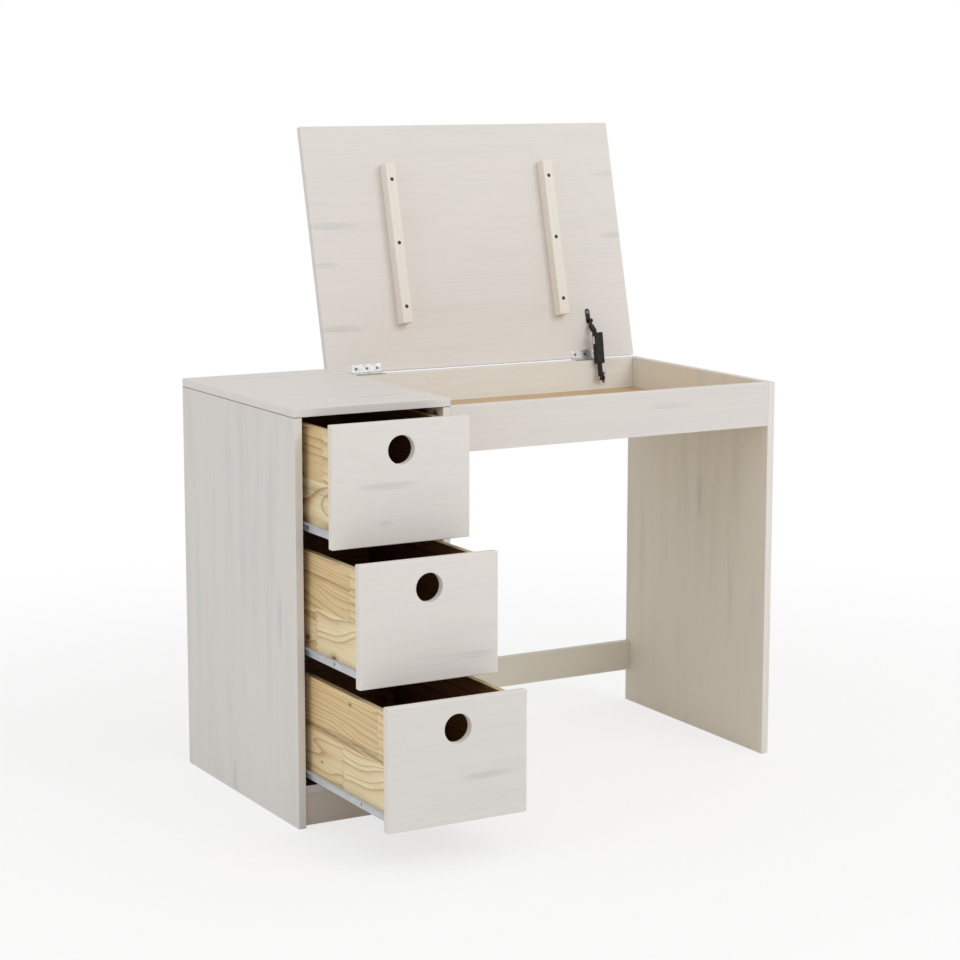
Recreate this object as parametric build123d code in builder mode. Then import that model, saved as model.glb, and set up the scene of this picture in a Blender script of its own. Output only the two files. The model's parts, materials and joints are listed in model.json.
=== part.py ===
from build123d import *
import os
from math import cos, hypot, radians, sin

os.makedirs("parts", exist_ok=True)

# Writing desk: drawer pedestal on the left, lift-up lid over a shallow compartment on the right.
# Millimetres, +X to the user's right, +Y to the back, +Z up, origin on the floor at the middle
# of the whole desk as it stands with its lid open and its drawers pulled out.

# Carcass
desk_width = 1017
desk_depth = 494
desk_height = 750
pedestal_width = 307
board = 15
board_arris = 1.2
rail_height = 84.5
stretcher_height = 62
stretcher_bottom = 68
shelf_bottom = 58
shelf_recess = board + 1
back_sheet = 5
back_sheet_inset = 10
floor_sheet = 5
floor_drop = 62.8
sheet_groove = 4
sheet_fit = 0.1

# Lid, turned up about its hinge pin
lid_open_angle = 103.75
lid_side_gap = 1
lid_seat_gap = 0.3
lid_front_setback = 3

# Battens under the lid
batten_width = 22
batten_depth = 25
batten_length = 320
batten_start = 93
batten_inset = 165.5
batten_spacing = 363
batten_screw_pitch = 127.5
batten_screw_length = 35

# Butt hinges
leaf_length = 65
leaf_thickness = 1.2
lid_leaf_width = 19
hinge_corner = 1.5
knuckle_diameter = 5
knuckle_count = 5
knuckle_gap = 0.4
knuckle_clearance = 0.3
hinge_pin_diameter = 2.4
hinge_screw_line = 10
hinge_screw_pitch = 23
left_hinge_offset = 86
right_hinge_offset = 104.5

# Lid stay, a lever on the back rail and an arm to the lid that together make a parallelogram
stay_offset = 86.5
stay_pivot_forward = 32
stay_pivot_drop = 37
stay_reach_up_lid = 78
stay_pivot_off_lid = 6
stay_housing_width = 19.5
stay_housing_depth = 13
stay_housing_start = 30
stay_housing_past_elbow = 15.8
stay_housing_corner = 2.5
stay_neck_width = 8
stay_neck_depth = 9.5
stay_fork_before_elbow = 14.2
stay_arm_thickness = 5
stay_arm_width = 7
stay_eye_diameter = 9
stay_arm_swell = 18
stay_side_gap = 0.3
stay_rivet_diameter = 4
stay_rivet_head = 7
stay_rivet_head_height = 1.2
stay_ear_thickness = 2.5
stay_ear_diameter = 11
stay_plate_thickness = 2.5
stay_plate_width = 16
stay_plate_height = 30
stay_plate_above_pivot = 14
stay_plate_screw_pitch = 16
lid_bracket_plate = 1.2
lid_bracket_length = 31
lid_bracket_past_pivot = 26
lid_bracket_screw_up = 19
open_pivot_gap = 0.3
label_width = 11
label_length = 22
label_thickness = 0.3

# Drawers
drawer_pull_outs = (105, 205, 305)
front_width = 268
front_thickness = 15
front_arris = 1.8
front_top_gap = 1.8
front_gap = 8
front_shelf_lap = 0.8
finger_hole_diameter = 51
finger_hole_drop = 51
box_side_gap = 12.5
box_wall = 12
box_wall_arris = 1
box_rise = 15
box_drop = 13
box_bottom = 4
box_bottom_rise = 8
box_groove = 5

# Roller runners
runner_length = 450
runner_sheet = 1.2
runner_setback = 2
drawer_member_height = 17.5
drawer_member_flange = 9.7
drawer_member_foot = 12
cabinet_member_height = 29
cabinet_member_flange = 9.5
cabinet_member_lip = 5
roller_diameter = 20
roller_width = 8
roller_arris = 1
roller_gap = 0.3
roller_inset = 12
axle_diameter = 4
axle_head = 7
axle_head_height = 0.8
axle_end_gap = 0.1
cabinet_screw_margin = 45
cabinet_screw_places = (cabinet_screw_margin, runner_length / 2, runner_length - cabinet_screw_margin)
drawer_screw_front = 95
drawer_screw_back = 100
drawer_screw_places = (drawer_screw_front, runner_length - drawer_screw_back)
drawer_screw_rise = 7.5
drawer_screw_length = box_wall - box_groove
cabinet_screw_rise = 12

# Fasteners
dowel_diameter = 8
dowel_in_panel = 10
dowel_in_rail = 20
dowel_fit = 0.1
rail_dowel_margin = 12
stretcher_dowel_margin = 13
shelf_dowel_margin = 60
screw_shank = 3.2
screw_head = 6.4
screw_length = 12
screw_recess = 0.9
screw_recess_span = 3.4
screw_recess_depth = 1.2
screw_fit = 0.05
running_fit = 0.05
cam_diameter = 20
cam_depth = 11
cam_rim = 1.5
cam_rim_width = 2.5
cam_core_diameter = 8
cam_drop = 20
cam_inset = 29
cam_fit = 0.1
cam_slot_depth = 2
cam_bolt_diameter = 6
cam_bolt_in_top = 10

# Places that follow from those sizes
lid_angle = radians(lid_open_angle)
knuckle_radius = knuckle_diameter / 2
pin_behind = knuckle_radius + knuckle_clearance
lid_length = desk_depth + pin_behind - lid_front_setback
lid_reach = pin_behind - lid_length * cos(lid_angle) + (lid_seat_gap + board) * sin(lid_angle)
y_front = -(desk_depth + lid_reach - max(drawer_pull_outs)) / 2
y_back = y_front + desk_depth
x_left = -desk_width / 2
x_left_inner = x_left + board
x_divider_right = x_left + pedestal_width
x_divider_left = x_divider_right - board
x_right = desk_width / 2
x_right_inner = x_right - board
z_carcass = desk_height - board
z_floor = z_carcass - floor_drop
z_shelf = shelf_bottom + board
front_room = z_carcass - z_shelf - (len(drawer_pull_outs) - 1) * front_gap
front_height = (front_room - (front_top_gap - front_shelf_lap)) / len(drawer_pull_outs)
pin_y = y_back + pin_behind
upward = (Align.CENTER, Align.CENTER, Align.MIN)
downward = (Align.CENTER, Align.CENTER, Align.MAX)

# On this plane x runs along the hinge, y up the open lid and z out of its underside
lid_plane = Plane(
    origin=(0, pin_y, z_carcass),
    x_dir=(1, 0, 0),
    z_dir=(0, -sin(lid_angle), -cos(lid_angle)),
)


def block(x_span, y_span, z_span, base=Plane.XY, mode=Mode.ADD):
    """A box between three pairs of limits on a plane."""
    with BuildSketch(base.offset(z_span[0])) as outline:
        with Locations((sum(x_span) / 2, sum(y_span) / 2)):
            Rectangle(x_span[1] - x_span[0], y_span[1] - y_span[0])
    extrude(outline.sketch, amount=z_span[1] - z_span[0], mode=mode)


def rods(planes, diameter, behind, ahead, mode=Mode.ADD):
    """A cylinder along each plane's normal, from behind the plane to ahead of it."""
    with Locations(*[plane.offset(-behind) for plane in planes]):
        Cylinder(diameter / 2, behind + ahead, align=upward, mode=mode)


def screw_bodies(planes, length, spare, mode):
    """Countersunk heads flush with each plane, and shanks into its back."""
    with Locations(*planes):
        Cone(
            screw_shank / 2 + spare,
            screw_head / 2 + spare,
            (screw_head - screw_shank) / 2,
            align=downward,
            mode=mode,
        )
        Cylinder(screw_shank / 2 + spare, length + spare, align=downward, mode=mode)


def screws(planes, length=screw_length):
    """Countersunk screws with a cross recess."""
    screw_bodies(planes, length, 0, Mode.ADD)
    with Locations(*planes):
        Box(screw_recess, screw_recess_span, screw_recess_depth, align=downward, mode=Mode.SUBTRACT)
        Box(screw_recess_span, screw_recess, screw_recess_depth, align=downward, mode=Mode.SUBTRACT)


def screw_holes(planes, length=screw_length):
    """The countersunk holes that those screws sit in."""
    screw_bodies(planes, length, screw_fit, Mode.SUBTRACT)


def finish(piece, name):
    """Labels a finished piece and writes it."""
    piece.part.label = name
    export_step(piece.part, f"parts/{name}.step")


# Dowels: each plane lies on a joint face and points from the side board into the rail
def dowel_planes(x_face, direction, y_places, z_places):
    return [
        Plane(origin=(x_face, y, z), z_dir=(direction, 0, 0)) for y in y_places for z in z_places
    ]


rail_bottom = z_carcass - rail_height
rail_dowel_y = (y_front + board / 2, y_back - board / 2)
rail_dowel_z = (rail_bottom + rail_dowel_margin, z_carcass - rail_dowel_margin)
stretcher_top = stretcher_bottom + stretcher_height
stretcher_dowel_z = (
    stretcher_bottom + stretcher_dowel_margin,
    stretcher_top - stretcher_dowel_margin,
)
shelf_y = (y_front + shelf_recess, y_back - back_sheet_inset - back_sheet)
shelf_dowel_y = (shelf_y[0] + shelf_dowel_margin, shelf_y[1] - shelf_dowel_margin)
toe_y = (shelf_y[0], shelf_y[0] + board)
side_dowels = []
for x_face, direction in ((x_divider_right, 1), (x_right_inner, -1)):
    side_dowels += dowel_planes(x_face, direction, rail_dowel_y, rail_dowel_z)
    side_dowels += dowel_planes(x_face, direction, rail_dowel_y[1:], stretcher_dowel_z)
for x_face, direction in ((x_left_inner, 1), (x_divider_left, -1)):
    side_dowels += dowel_planes(x_face, direction, shelf_dowel_y, [z_shelf - board / 2])
    side_dowels += dowel_planes(x_face, direction, [sum(toe_y) / 2], [shelf_bottom / 2])


def dowel_holes():
    """Blind holes on both sides of the joint faces."""
    rods(
        side_dowels,
        dowel_diameter + 2 * dowel_fit,
        dowel_in_panel + dowel_fit,
        dowel_in_rail + dowel_fit,
        Mode.SUBTRACT,
    )


# Cam connectors that pull the fixed top down on the pedestal's two panels
cam_z = z_carcass - cam_drop
cam_places_y = (y_front + cam_inset, y_back - cam_inset)
cam_planes = []
bolt_planes = []
for x_face, direction in ((x_left_inner, 1), (x_divider_left, -1)):
    for y in cam_places_y:
        cam_planes.append(Plane(origin=(x_face, y, cam_z), z_dir=(direction, 0, 0)))
        bolt_planes.append(Plane(origin=(x_face - direction * board / 2, y, cam_z)))


def cam_holes():
    """Round pockets for the housings and bores for the bolts above them."""
    rods(cam_planes, cam_diameter + 2 * cam_fit, cam_depth + cam_fit, cam_rim, Mode.SUBTRACT)
    rods(
        bolt_planes,
        cam_bolt_diameter + 2 * cam_fit,
        0,
        cam_drop + cam_bolt_in_top + cam_fit,
        Mode.SUBTRACT,
    )


def floor_groove():
    """The groove round the compartment that holds its thin floor."""
    block(
        (x_divider_right - sheet_groove - sheet_fit, x_right_inner + sheet_groove + sheet_fit),
        (y_front + board - sheet_groove - sheet_fit, y_back - board + sheet_groove + sheet_fit),
        (z_floor - floor_sheet - sheet_fit, z_floor + sheet_fit),
        mode=Mode.SUBTRACT,
    )


# Heights of the three drawers, top to bottom, and the planes of their screws
drawer_tops = [
    z_carcass - front_top_gap - number * (front_height + front_gap)
    for number in range(len(drawer_pull_outs))
]
opening_centre = (x_left_inner + x_divider_left) / 2
opening_half = (x_divider_left - x_left_inner) / 2
box_half = opening_half - box_side_gap


def box_foot(top):
    """Height of the underside of a drawer's sides."""
    return top - front_height + box_rise


def track_height(top):
    """Height of the upper face of the cabinet track that carries a drawer."""
    flange_underside = box_foot(top) + drawer_member_height - 2 * runner_sheet
    return flange_underside - roller_diameter - 2 * roller_gap


def cabinet_screw_planes(side, top):
    """Screws through a cabinet channel's web; side is -1 on the left and 1 on the right."""
    x_web = opening_centre + side * (opening_half - runner_sheet)
    z_line = track_height(top) + cabinet_screw_rise
    y_start = y_front + front_thickness + runner_setback
    return [
        Plane(origin=(x_web, y_start + place, z_line), z_dir=(-side, 0, 0))
        for place in cabinet_screw_places
    ]


def drawer_screw_planes(side, top, pull_out):
    """Screws through a drawer member's web into the drawer's side."""
    x_web = opening_centre + side * (box_half + runner_sheet)
    z_line = box_foot(top) + drawer_screw_rise
    y_start = y_front + front_thickness - pull_out
    return [
        Plane(origin=(x_web, y_start + place, z_line), z_dir=(side, 0, 0))
        for place in drawer_screw_places
    ]


# Carcass boards
with BuildPart() as left_side_panel:
    block((x_left, x_left_inner), (y_front, y_back), (0, z_carcass))
    fillet(edges(), board_arris)
    block(
        (x_left_inner - sheet_groove - sheet_fit, x_left_inner),
        (shelf_y[1] - sheet_fit, shelf_y[1] + back_sheet + sheet_fit),
        (shelf_bottom, z_carcass),
        mode=Mode.SUBTRACT,
    )
    dowel_holes()
    cam_holes()
    for top in drawer_tops:
        screw_holes(cabinet_screw_planes(-1, top))
finish(left_side_panel, "left_side_panel")

with BuildPart() as divider_panel:
    block((x_divider_left, x_divider_right), (y_front, y_back), (0, z_carcass))
    fillet(edges(), board_arris)
    block(
        (x_divider_left, x_divider_left + sheet_groove + sheet_fit),
        (shelf_y[1] - sheet_fit, shelf_y[1] + back_sheet + sheet_fit),
        (shelf_bottom, z_carcass),
        mode=Mode.SUBTRACT,
    )
    floor_groove()
    dowel_holes()
    cam_holes()
    for top in drawer_tops:
        screw_holes(cabinet_screw_planes(1, top))
finish(divider_panel, "divider_panel")

with BuildPart() as right_side_panel:
    block((x_right_inner, x_right), (y_front, y_back), (0, z_carcass))
    fillet(edges(), board_arris)
    floor_groove()
    dowel_holes()
finish(right_side_panel, "right_side_panel")

with BuildPart() as fixed_top:
    block((x_left, x_divider_right), (y_front, y_back), (z_carcass, desk_height))
    fillet(edges(), board_arris)
    cam_holes()
finish(fixed_top, "fixed_top")

with BuildPart() as bottom_shelf:
    block((x_left_inner, x_divider_left), shelf_y, (shelf_bottom, z_shelf))
    fillet(edges(), board_arris)
    dowel_holes()
finish(bottom_shelf, "bottom_shelf")

with BuildPart() as toe_kick:
    block((x_left_inner, x_divider_left), toe_y, (0, shelf_bottom))
    fillet(edges(), board_arris)
    dowel_holes()
finish(toe_kick, "toe_kick")

with BuildPart() as pedestal_back:
    block(
        (x_left_inner - sheet_groove, x_divider_left + sheet_groove),
        (shelf_y[1], shelf_y[1] + back_sheet),
        (shelf_bottom, z_carcass),
    )
finish(pedestal_back, "pedestal_back")

# Rails and stretcher between the divider and the right side panel
hinge_centres = (x_divider_right + left_hinge_offset, x_right_inner - right_hinge_offset)
leaf_half = leaf_length / 2
hinge_screw_offsets = (-hinge_screw_pitch, 0, hinge_screw_pitch)
rail_leaf_y = (y_back - board, pin_y)
rail_leaf_screws = [
    Plane(origin=(centre + offset, pin_y - hinge_screw_line, z_carcass))
    for centre in hinge_centres
    for offset in hinge_screw_offsets
]
stay_x = x_right_inner - stay_offset
stay_pivot_y = pin_y - stay_pivot_forward
stay_pivot_z = z_carcass - stay_pivot_drop
ear_inner = stay_x + stay_neck_width / 2 + stay_side_gap
stay_plate_x = (ear_inner, ear_inner + stay_plate_width)
stay_plate_top = stay_pivot_z + stay_plate_above_pivot
stay_plate_y = y_back - board - stay_plate_thickness
stay_plate_centre = stay_plate_top - stay_plate_height / 2
stay_screw_x = (ear_inner + stay_ear_thickness + stay_plate_x[1]) / 2
stay_plate_screws = [
    Plane(
        origin=(stay_screw_x, stay_plate_y, stay_plate_centre + half * stay_plate_screw_pitch / 2),
        z_dir=(0, -1, 0),
    )
    for half in (-1, 1)
]


with BuildPart() as front_rail:
    block((x_divider_right, x_right_inner), (y_front, y_front + board), (rail_bottom, z_carcass))
    fillet(edges(), board_arris)
    floor_groove()
    dowel_holes()
finish(front_rail, "front_rail")

with BuildPart() as back_rail:
    block((x_divider_right, x_right_inner), (y_back - board, y_back), (rail_bottom, z_carcass))
    fillet(edges(), board_arris)
    floor_groove()
    dowel_holes()
    for centre in hinge_centres:
        block(
            (centre - leaf_half - sheet_fit, centre + leaf_half + sheet_fit),
            (y_back - board, y_back),
            (z_carcass - leaf_thickness, z_carcass),
            mode=Mode.SUBTRACT,
        )
    screw_holes(rail_leaf_screws)
    screw_holes(stay_plate_screws)
finish(back_rail, "back_rail")

with BuildPart() as compartment_floor:
    block(
        (x_divider_right - sheet_groove, x_right_inner + sheet_groove),
        (y_front + board - sheet_groove, y_back - board + sheet_groove),
        (z_floor - floor_sheet, z_floor),
    )
finish(compartment_floor, "compartment_floor")

with BuildPart() as back_stretcher:
    block(
        (x_divider_right, x_right_inner),
        (y_back - board, y_back),
        (stretcher_bottom, stretcher_top),
    )
    fillet(edges(), board_arris)
    dowel_holes()
finish(back_stretcher, "back_stretcher")

# Hidden joinery
with BuildPart() as dowels:
    rods(side_dowels, dowel_diameter, dowel_in_panel, dowel_in_rail)
finish(dowels, "dowels")

with BuildPart() as cam_housings:
    rods(cam_planes, cam_diameter, cam_depth, cam_rim)
    rods(cam_planes, cam_diameter - 2 * cam_rim_width, 0, cam_rim, Mode.SUBTRACT)
    rods(cam_planes, cam_core_diameter, cam_slot_depth, 0, Mode.SUBTRACT)
    with Locations(*cam_planes):
        Box(screw_recess, cam_core_diameter, cam_slot_depth, align=downward)
        Box(cam_core_diameter, screw_recess, cam_slot_depth, align=downward)
    rods(bolt_planes, cam_bolt_diameter + 2 * cam_fit, cam_fit, cam_drop, Mode.SUBTRACT)
finish(cam_housings, "cam_housings")

with BuildPart() as cam_bolts:
    rods(bolt_planes, cam_bolt_diameter, 0, cam_drop + cam_bolt_in_top)
finish(cam_bolts, "cam_bolts")

# Butt hinges: the rail's leaves have the odd knuckles and the lid's leaves the even ones
knuckle_length = (leaf_length - (knuckle_count - 1) * knuckle_gap) / knuckle_count


def knuckle_planes(parity):
    """Planes across the pin at the left end of every second knuckle."""
    return [
        Plane(
            origin=(centre - leaf_half + place * (knuckle_length + knuckle_gap), pin_y, z_carcass),
            z_dir=(1, 0, 0),
        )
        for centre in hinge_centres
        for place in range(parity, knuckle_count, 2)
    ]


def knuckles(parity):
    """Makes room for the other leaf's knuckles, then rolls this leaf's own and bores them."""
    rods(
        knuckle_planes(1 - parity),
        knuckle_diameter + 2 * knuckle_clearance,
        knuckle_gap,
        knuckle_length + knuckle_gap,
        Mode.SUBTRACT,
    )
    rods(knuckle_planes(parity), knuckle_diameter, 0, knuckle_length)
    rods(
        knuckle_planes(parity),
        hinge_pin_diameter + 2 * running_fit,
        knuckle_gap,
        knuckle_length + knuckle_gap,
        Mode.SUBTRACT,
    )


with BuildPart() as hinge_rail_leaves:
    for centre in hinge_centres:
        block(
            (centre - leaf_half, centre + leaf_half),
            rail_leaf_y,
            (z_carcass - leaf_thickness, z_carcass),
        )
    fillet(edges().filter_by(Axis.Z).group_by(Axis.Y)[0], hinge_corner)
    knuckles(0)
    screw_holes(rail_leaf_screws)
finish(hinge_rail_leaves, "hinge_rail_leaves")

with BuildPart() as hinge_pins:
    pin_ends = [
        Plane(origin=(centre, pin_y, z_carcass), z_dir=(1, 0, 0)) for centre in hinge_centres
    ]
    rods(pin_ends, hinge_pin_diameter, leaf_half, leaf_half)
finish(hinge_pins, "hinge_pins")

with BuildPart() as rail_screws:
    screws(rail_leaf_screws)
    screws(stay_plate_screws)
finish(rail_screws, "rail_screws")


# Lid and what is fixed to it
def on_lid(x, up, out):
    """A plane square to the lid, at a place along the hinge, up the lid and out of its underside."""
    return Plane(
        origin=lid_plane.from_local_coords((x, up, out)),
        x_dir=lid_plane.x_dir,
        z_dir=lid_plane.z_dir,
    )


lid_x = (x_divider_right + lid_side_gap, x_right)
lid_underside = -lid_seat_gap
batten_face = lid_underside + batten_depth
batten_x = (lid_x[0] + batten_inset, lid_x[0] + batten_inset + batten_spacing)
batten_middle = batten_start + batten_length / 2
batten_screw_places = [
    on_lid(x + batten_width / 2, batten_middle + step * batten_screw_pitch, batten_face)
    for x in batten_x
    for step in (-1, 0, 1)
]
lid_leaf_screws = [
    on_lid(centre + offset, hinge_screw_line, lid_underside)
    for centre in hinge_centres
    for offset in hinge_screw_offsets
]
lid_bracket_face = lid_underside + lid_bracket_plate
lid_bracket_screw = [
    on_lid(stay_x, stay_reach_up_lid + lid_bracket_screw_up, lid_bracket_face)
]

with BuildPart() as lid_panel:
    block(lid_x, (pin_behind, lid_length), (lid_underside - board, lid_underside), lid_plane)
    fillet(edges(), board_arris)
    for centre in hinge_centres:
        block(
            (centre - leaf_half - sheet_fit, centre + leaf_half + sheet_fit),
            (0, lid_leaf_width + sheet_fit),
            (lid_underside - leaf_thickness, lid_underside),
            lid_plane,
            Mode.SUBTRACT,
        )
    screw_holes(lid_leaf_screws)
    screw_holes(lid_bracket_screw)
    screw_holes(batten_screw_places, batten_screw_length)
finish(lid_panel, "lid_panel")

for name, x in zip(("left_batten", "right_batten"), batten_x):
    with BuildPart() as batten:
        block(
            (x, x + batten_width),
            (batten_start, batten_start + batten_length),
            (lid_underside, batten_face),
            lid_plane,
        )
        fillet(edges(), board_arris)
        screw_holes(batten_screw_places, batten_screw_length)
    finish(batten, name)

with BuildPart() as batten_screws:
    screws(batten_screw_places, batten_screw_length)
finish(batten_screws, "batten_screws")

with BuildPart() as hinge_lid_leaves:
    for centre in hinge_centres:
        block(
            (centre - leaf_half, centre + leaf_half),
            (0, lid_leaf_width),
            (lid_underside - leaf_thickness, lid_underside),
            lid_plane,
        )
    leaf_corners = edges().filter_by(Axis(lid_plane.origin, lid_plane.z_dir))
    fillet(leaf_corners.group_by(Axis.Z)[-1], hinge_corner)
    knuckles(1)
    screw_holes(lid_leaf_screws)
finish(hinge_lid_leaves, "hinge_lid_leaves")

with BuildPart() as lid_screws:
    screws(lid_leaf_screws)
    screws(lid_bracket_screw)
finish(lid_screws, "lid_screws")

# The stay's pivots at rest: the lever runs beside the lid and the arm beside the pin
lid_pivot = lid_plane.from_local_coords((stay_x, stay_reach_up_lid, stay_pivot_off_lid))
lever_length = hypot(stay_reach_up_lid, stay_pivot_off_lid)
lever_run = Vector(0, lid_pivot.Y - pin_y, lid_pivot.Z - z_carcass)
elbow_y = stay_pivot_y + lever_run.Y
elbow_z = stay_pivot_z + lever_run.Z

# On this plane x runs up the lever, y to its front and z along the hinge
lever_plane = Plane(
    origin=(stay_x, stay_pivot_y, stay_pivot_z),
    x_dir=(0, lever_run.Y, lever_run.Z),
    z_dir=(1, 0, 0),
)
rail_rivet = lever_plane
elbow_rivet = Plane(origin=lever_plane.from_local_coords((lever_length, 0, 0)), z_dir=(1, 0, 0))
lid_pin = Plane(origin=lid_pivot, z_dir=(1, 0, 0))
housing_end = lever_length + stay_housing_past_elbow
housing_half = stay_housing_width / 2
neck_half = stay_neck_width / 2

with BuildPart() as stay_lever:
    block(
        (stay_housing_start, housing_end),
        (-stay_housing_depth / 2, stay_housing_depth / 2),
        (-housing_half, housing_half),
        lever_plane,
    )
    fillet(edges(), stay_housing_corner)
    block(
        (0, stay_housing_start + stay_housing_corner),
        (-stay_neck_depth / 2, stay_neck_depth / 2),
        (-neck_half, neck_half),
        lever_plane,
    )
    rods([rail_rivet], stay_neck_depth, neck_half, neck_half)
    block(
        (lever_length - stay_fork_before_elbow, housing_end),
        (-stay_housing_depth, stay_housing_depth),
        (-stay_arm_thickness / 2 - stay_side_gap, stay_arm_thickness / 2 + stay_side_gap),
        lever_plane,
        Mode.SUBTRACT,
    )
    rods(
        [rail_rivet, elbow_rivet],
        stay_rivet_diameter + 2 * running_fit,
        housing_half,
        housing_half,
        Mode.SUBTRACT,
    )
finish(stay_lever, "stay_lever")

with BuildPart() as stay_rivets:
    ear_outer = neck_half + stay_side_gap + stay_ear_thickness
    rods([rail_rivet], stay_rivet_diameter, neck_half, ear_outer)
    rods([rail_rivet.offset(-neck_half)], stay_rivet_head, stay_rivet_head_height, 0)
    rods([elbow_rivet], stay_rivet_diameter, housing_half, housing_half)
finish(stay_rivets, "stay_rivets")

with BuildPart() as stay_label:
    block(
        (lever_length + label_length / 2 - label_length, lever_length + label_length / 2),
        (-label_width / 2, label_width / 2),
        (-housing_half - label_thickness, -housing_half),
        lever_plane,
    )
finish(stay_label, "stay_label")

with BuildPart() as stay_arm:
    arm_face = stay_x - stay_arm_thickness / 2
    arm_plane = Plane(origin=(arm_face, 0, 0), x_dir=(0, 1, 0), z_dir=(1, 0, 0))
    start = Vector(elbow_y, elbow_z)
    end = Vector(lid_pivot.Y, lid_pivot.Z)
    lever_way = Vector(lever_run.Y, lever_run.Z).normalized()
    with BuildSketch(arm_plane):
        with BuildLine():
            Bezier(start, start + lever_way * stay_arm_swell, end - lever_way * stay_arm_swell, end)
        trace(line_width=stay_arm_width)
        with Locations(start, end):
            Circle(stay_eye_diameter / 2)
        with Locations(start):
            Circle(stay_rivet_diameter / 2 + running_fit, mode=Mode.SUBTRACT)
        with Locations(end):
            Circle(stay_rivet_diameter / 2 + open_pivot_gap, mode=Mode.SUBTRACT)
    extrude(amount=stay_arm_thickness)
finish(stay_arm, "stay_arm")

with BuildPart() as stay_lid_bracket:
    ear_start = stay_arm_thickness / 2 + stay_side_gap
    bracket_half = ear_start + stay_ear_thickness
    bracket_up = (
        stay_reach_up_lid + lid_bracket_past_pivot - lid_bracket_length,
        stay_reach_up_lid + lid_bracket_past_pivot,
    )
    block(
        (stay_x - bracket_half, stay_x + bracket_half),
        bracket_up,
        (lid_underside, lid_bracket_face),
        lid_plane,
    )
    for side in (-1, 1):
        ear_plane = Plane(
            origin=lid_plane.from_local_coords((stay_x + side * ear_start, 0, 0)),
            x_dir=lid_plane.y_dir,
            z_dir=(1, 0, 0),
        )
        with BuildSketch(ear_plane):
            with Locations((stay_reach_up_lid, stay_pivot_off_lid)):
                Circle(stay_eye_diameter / 2)
            with Locations((stay_reach_up_lid, (stay_pivot_off_lid + lid_underside) / 2)):
                Rectangle(stay_eye_diameter, stay_pivot_off_lid - lid_underside)
        extrude(amount=side * stay_ear_thickness)
    rods([lid_pin], stay_rivet_diameter, bracket_half, bracket_half)
    screw_holes(lid_bracket_screw)
finish(stay_lid_bracket, "stay_lid_bracket")

with BuildPart() as stay_rail_bracket:
    block(
        stay_plate_x,
        (stay_plate_y, y_back - board),
        (stay_plate_top - stay_plate_height, stay_plate_top),
    )
    fillet(edges().filter_by(Axis.Y).group_by(Axis.X)[-1], hinge_corner)
    ear_plane = Plane(origin=(ear_inner, 0, 0), x_dir=(0, 1, 0), z_dir=(1, 0, 0))
    with BuildSketch(ear_plane):
        with Locations((stay_pivot_y, stay_pivot_z)):
            Circle(stay_ear_diameter / 2)
        with Locations(((stay_pivot_y + y_back - board) / 2, stay_pivot_z)):
            Rectangle(y_back - board - stay_pivot_y, stay_ear_diameter)
    extrude(amount=stay_ear_thickness)
    rods(
        [rail_rivet],
        stay_rivet_diameter + 2 * running_fit,
        0,
        housing_half + stay_ear_thickness,
        Mode.SUBTRACT,
    )
    screw_holes(stay_plate_screws)
finish(stay_rail_bracket, "stay_rail_bracket")


# Roller runners; offsets are measured outwards from the drawer's middle plane
def across(side, near, far):
    """The pair of X limits between two distances on one side of the drawer's middle."""
    return tuple(sorted((opening_centre + side * near, opening_centre + side * far)))


web_face = opening_half - runner_sheet
cabinet_roller_out = (web_face - axle_end_gap - roller_width, web_face - axle_end_gap)
member_face = box_half + runner_sheet
drawer_roller_out = (member_face + axle_end_gap, member_face + axle_end_gap + roller_width)
cabinet_member_y = (
    y_front + front_thickness + runner_setback,
    y_front + front_thickness + runner_setback + runner_length,
)


def roller_height(top):
    """Height of the axles, which is the same for both pairs of rollers of a drawer."""
    return track_height(top) + roller_gap + roller_diameter / 2


def axle_plane(out, y, top, side, direction):
    """A plane across an axle at a distance from the drawer's middle, pointing out or in."""
    return Plane(
        origin=(opening_centre + side * out, y, roller_height(top)),
        z_dir=(side * direction, 0, 0),
    )


def cabinet_member(side, top):
    """A channel on the cabinet: web, track below, lip above, and the front roller's axle."""
    track = track_height(top)
    foot = track - runner_sheet
    web_top = foot + cabinet_member_height
    block(across(side, web_face, opening_half), cabinet_member_y, (foot, web_top))
    track_out = opening_half - cabinet_member_flange
    block(across(side, track_out, opening_half), cabinet_member_y, (foot, track))
    block(
        across(side, opening_half - cabinet_member_lip, opening_half),
        cabinet_member_y,
        (web_top - runner_sheet, web_top),
    )
    axle_y = cabinet_member_y[0] + roller_inset
    axle = axle_plane(web_face, axle_y, top, side, -1)
    rods([axle], axle_diameter, 0, roller_width + 2 * axle_end_gap)
    rods([axle.offset(roller_width + 2 * axle_end_gap)], axle_head, 0, axle_head_height)
    screw_holes(cabinet_screw_planes(side, top))


def drawer_member(side, top, pull_out):
    """A member on the drawer: foot under the side, web, outward flange, and the rear axle."""
    foot = box_foot(top)
    flange_top = foot - runner_sheet + drawer_member_height
    y_start = y_front + front_thickness - pull_out
    y_span = (y_start, y_start + runner_length)
    block(across(side, box_half, member_face), y_span, (foot - runner_sheet, flange_top))
    foot_out = box_half - drawer_member_foot
    block(across(side, foot_out, member_face), y_span, (foot - runner_sheet, foot))
    block(
        across(side, box_half, box_half + drawer_member_flange),
        y_span,
        (flange_top - runner_sheet, flange_top),
    )
    axle = axle_plane(member_face, y_span[1] - roller_inset, top, side, 1)
    rods([axle], axle_diameter, 0, roller_width + 2 * axle_end_gap)
    rods([axle.offset(roller_width + 2 * axle_end_gap)], axle_head, 0, axle_head_height)
    screw_holes(drawer_screw_planes(side, top, pull_out), drawer_screw_length)


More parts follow.
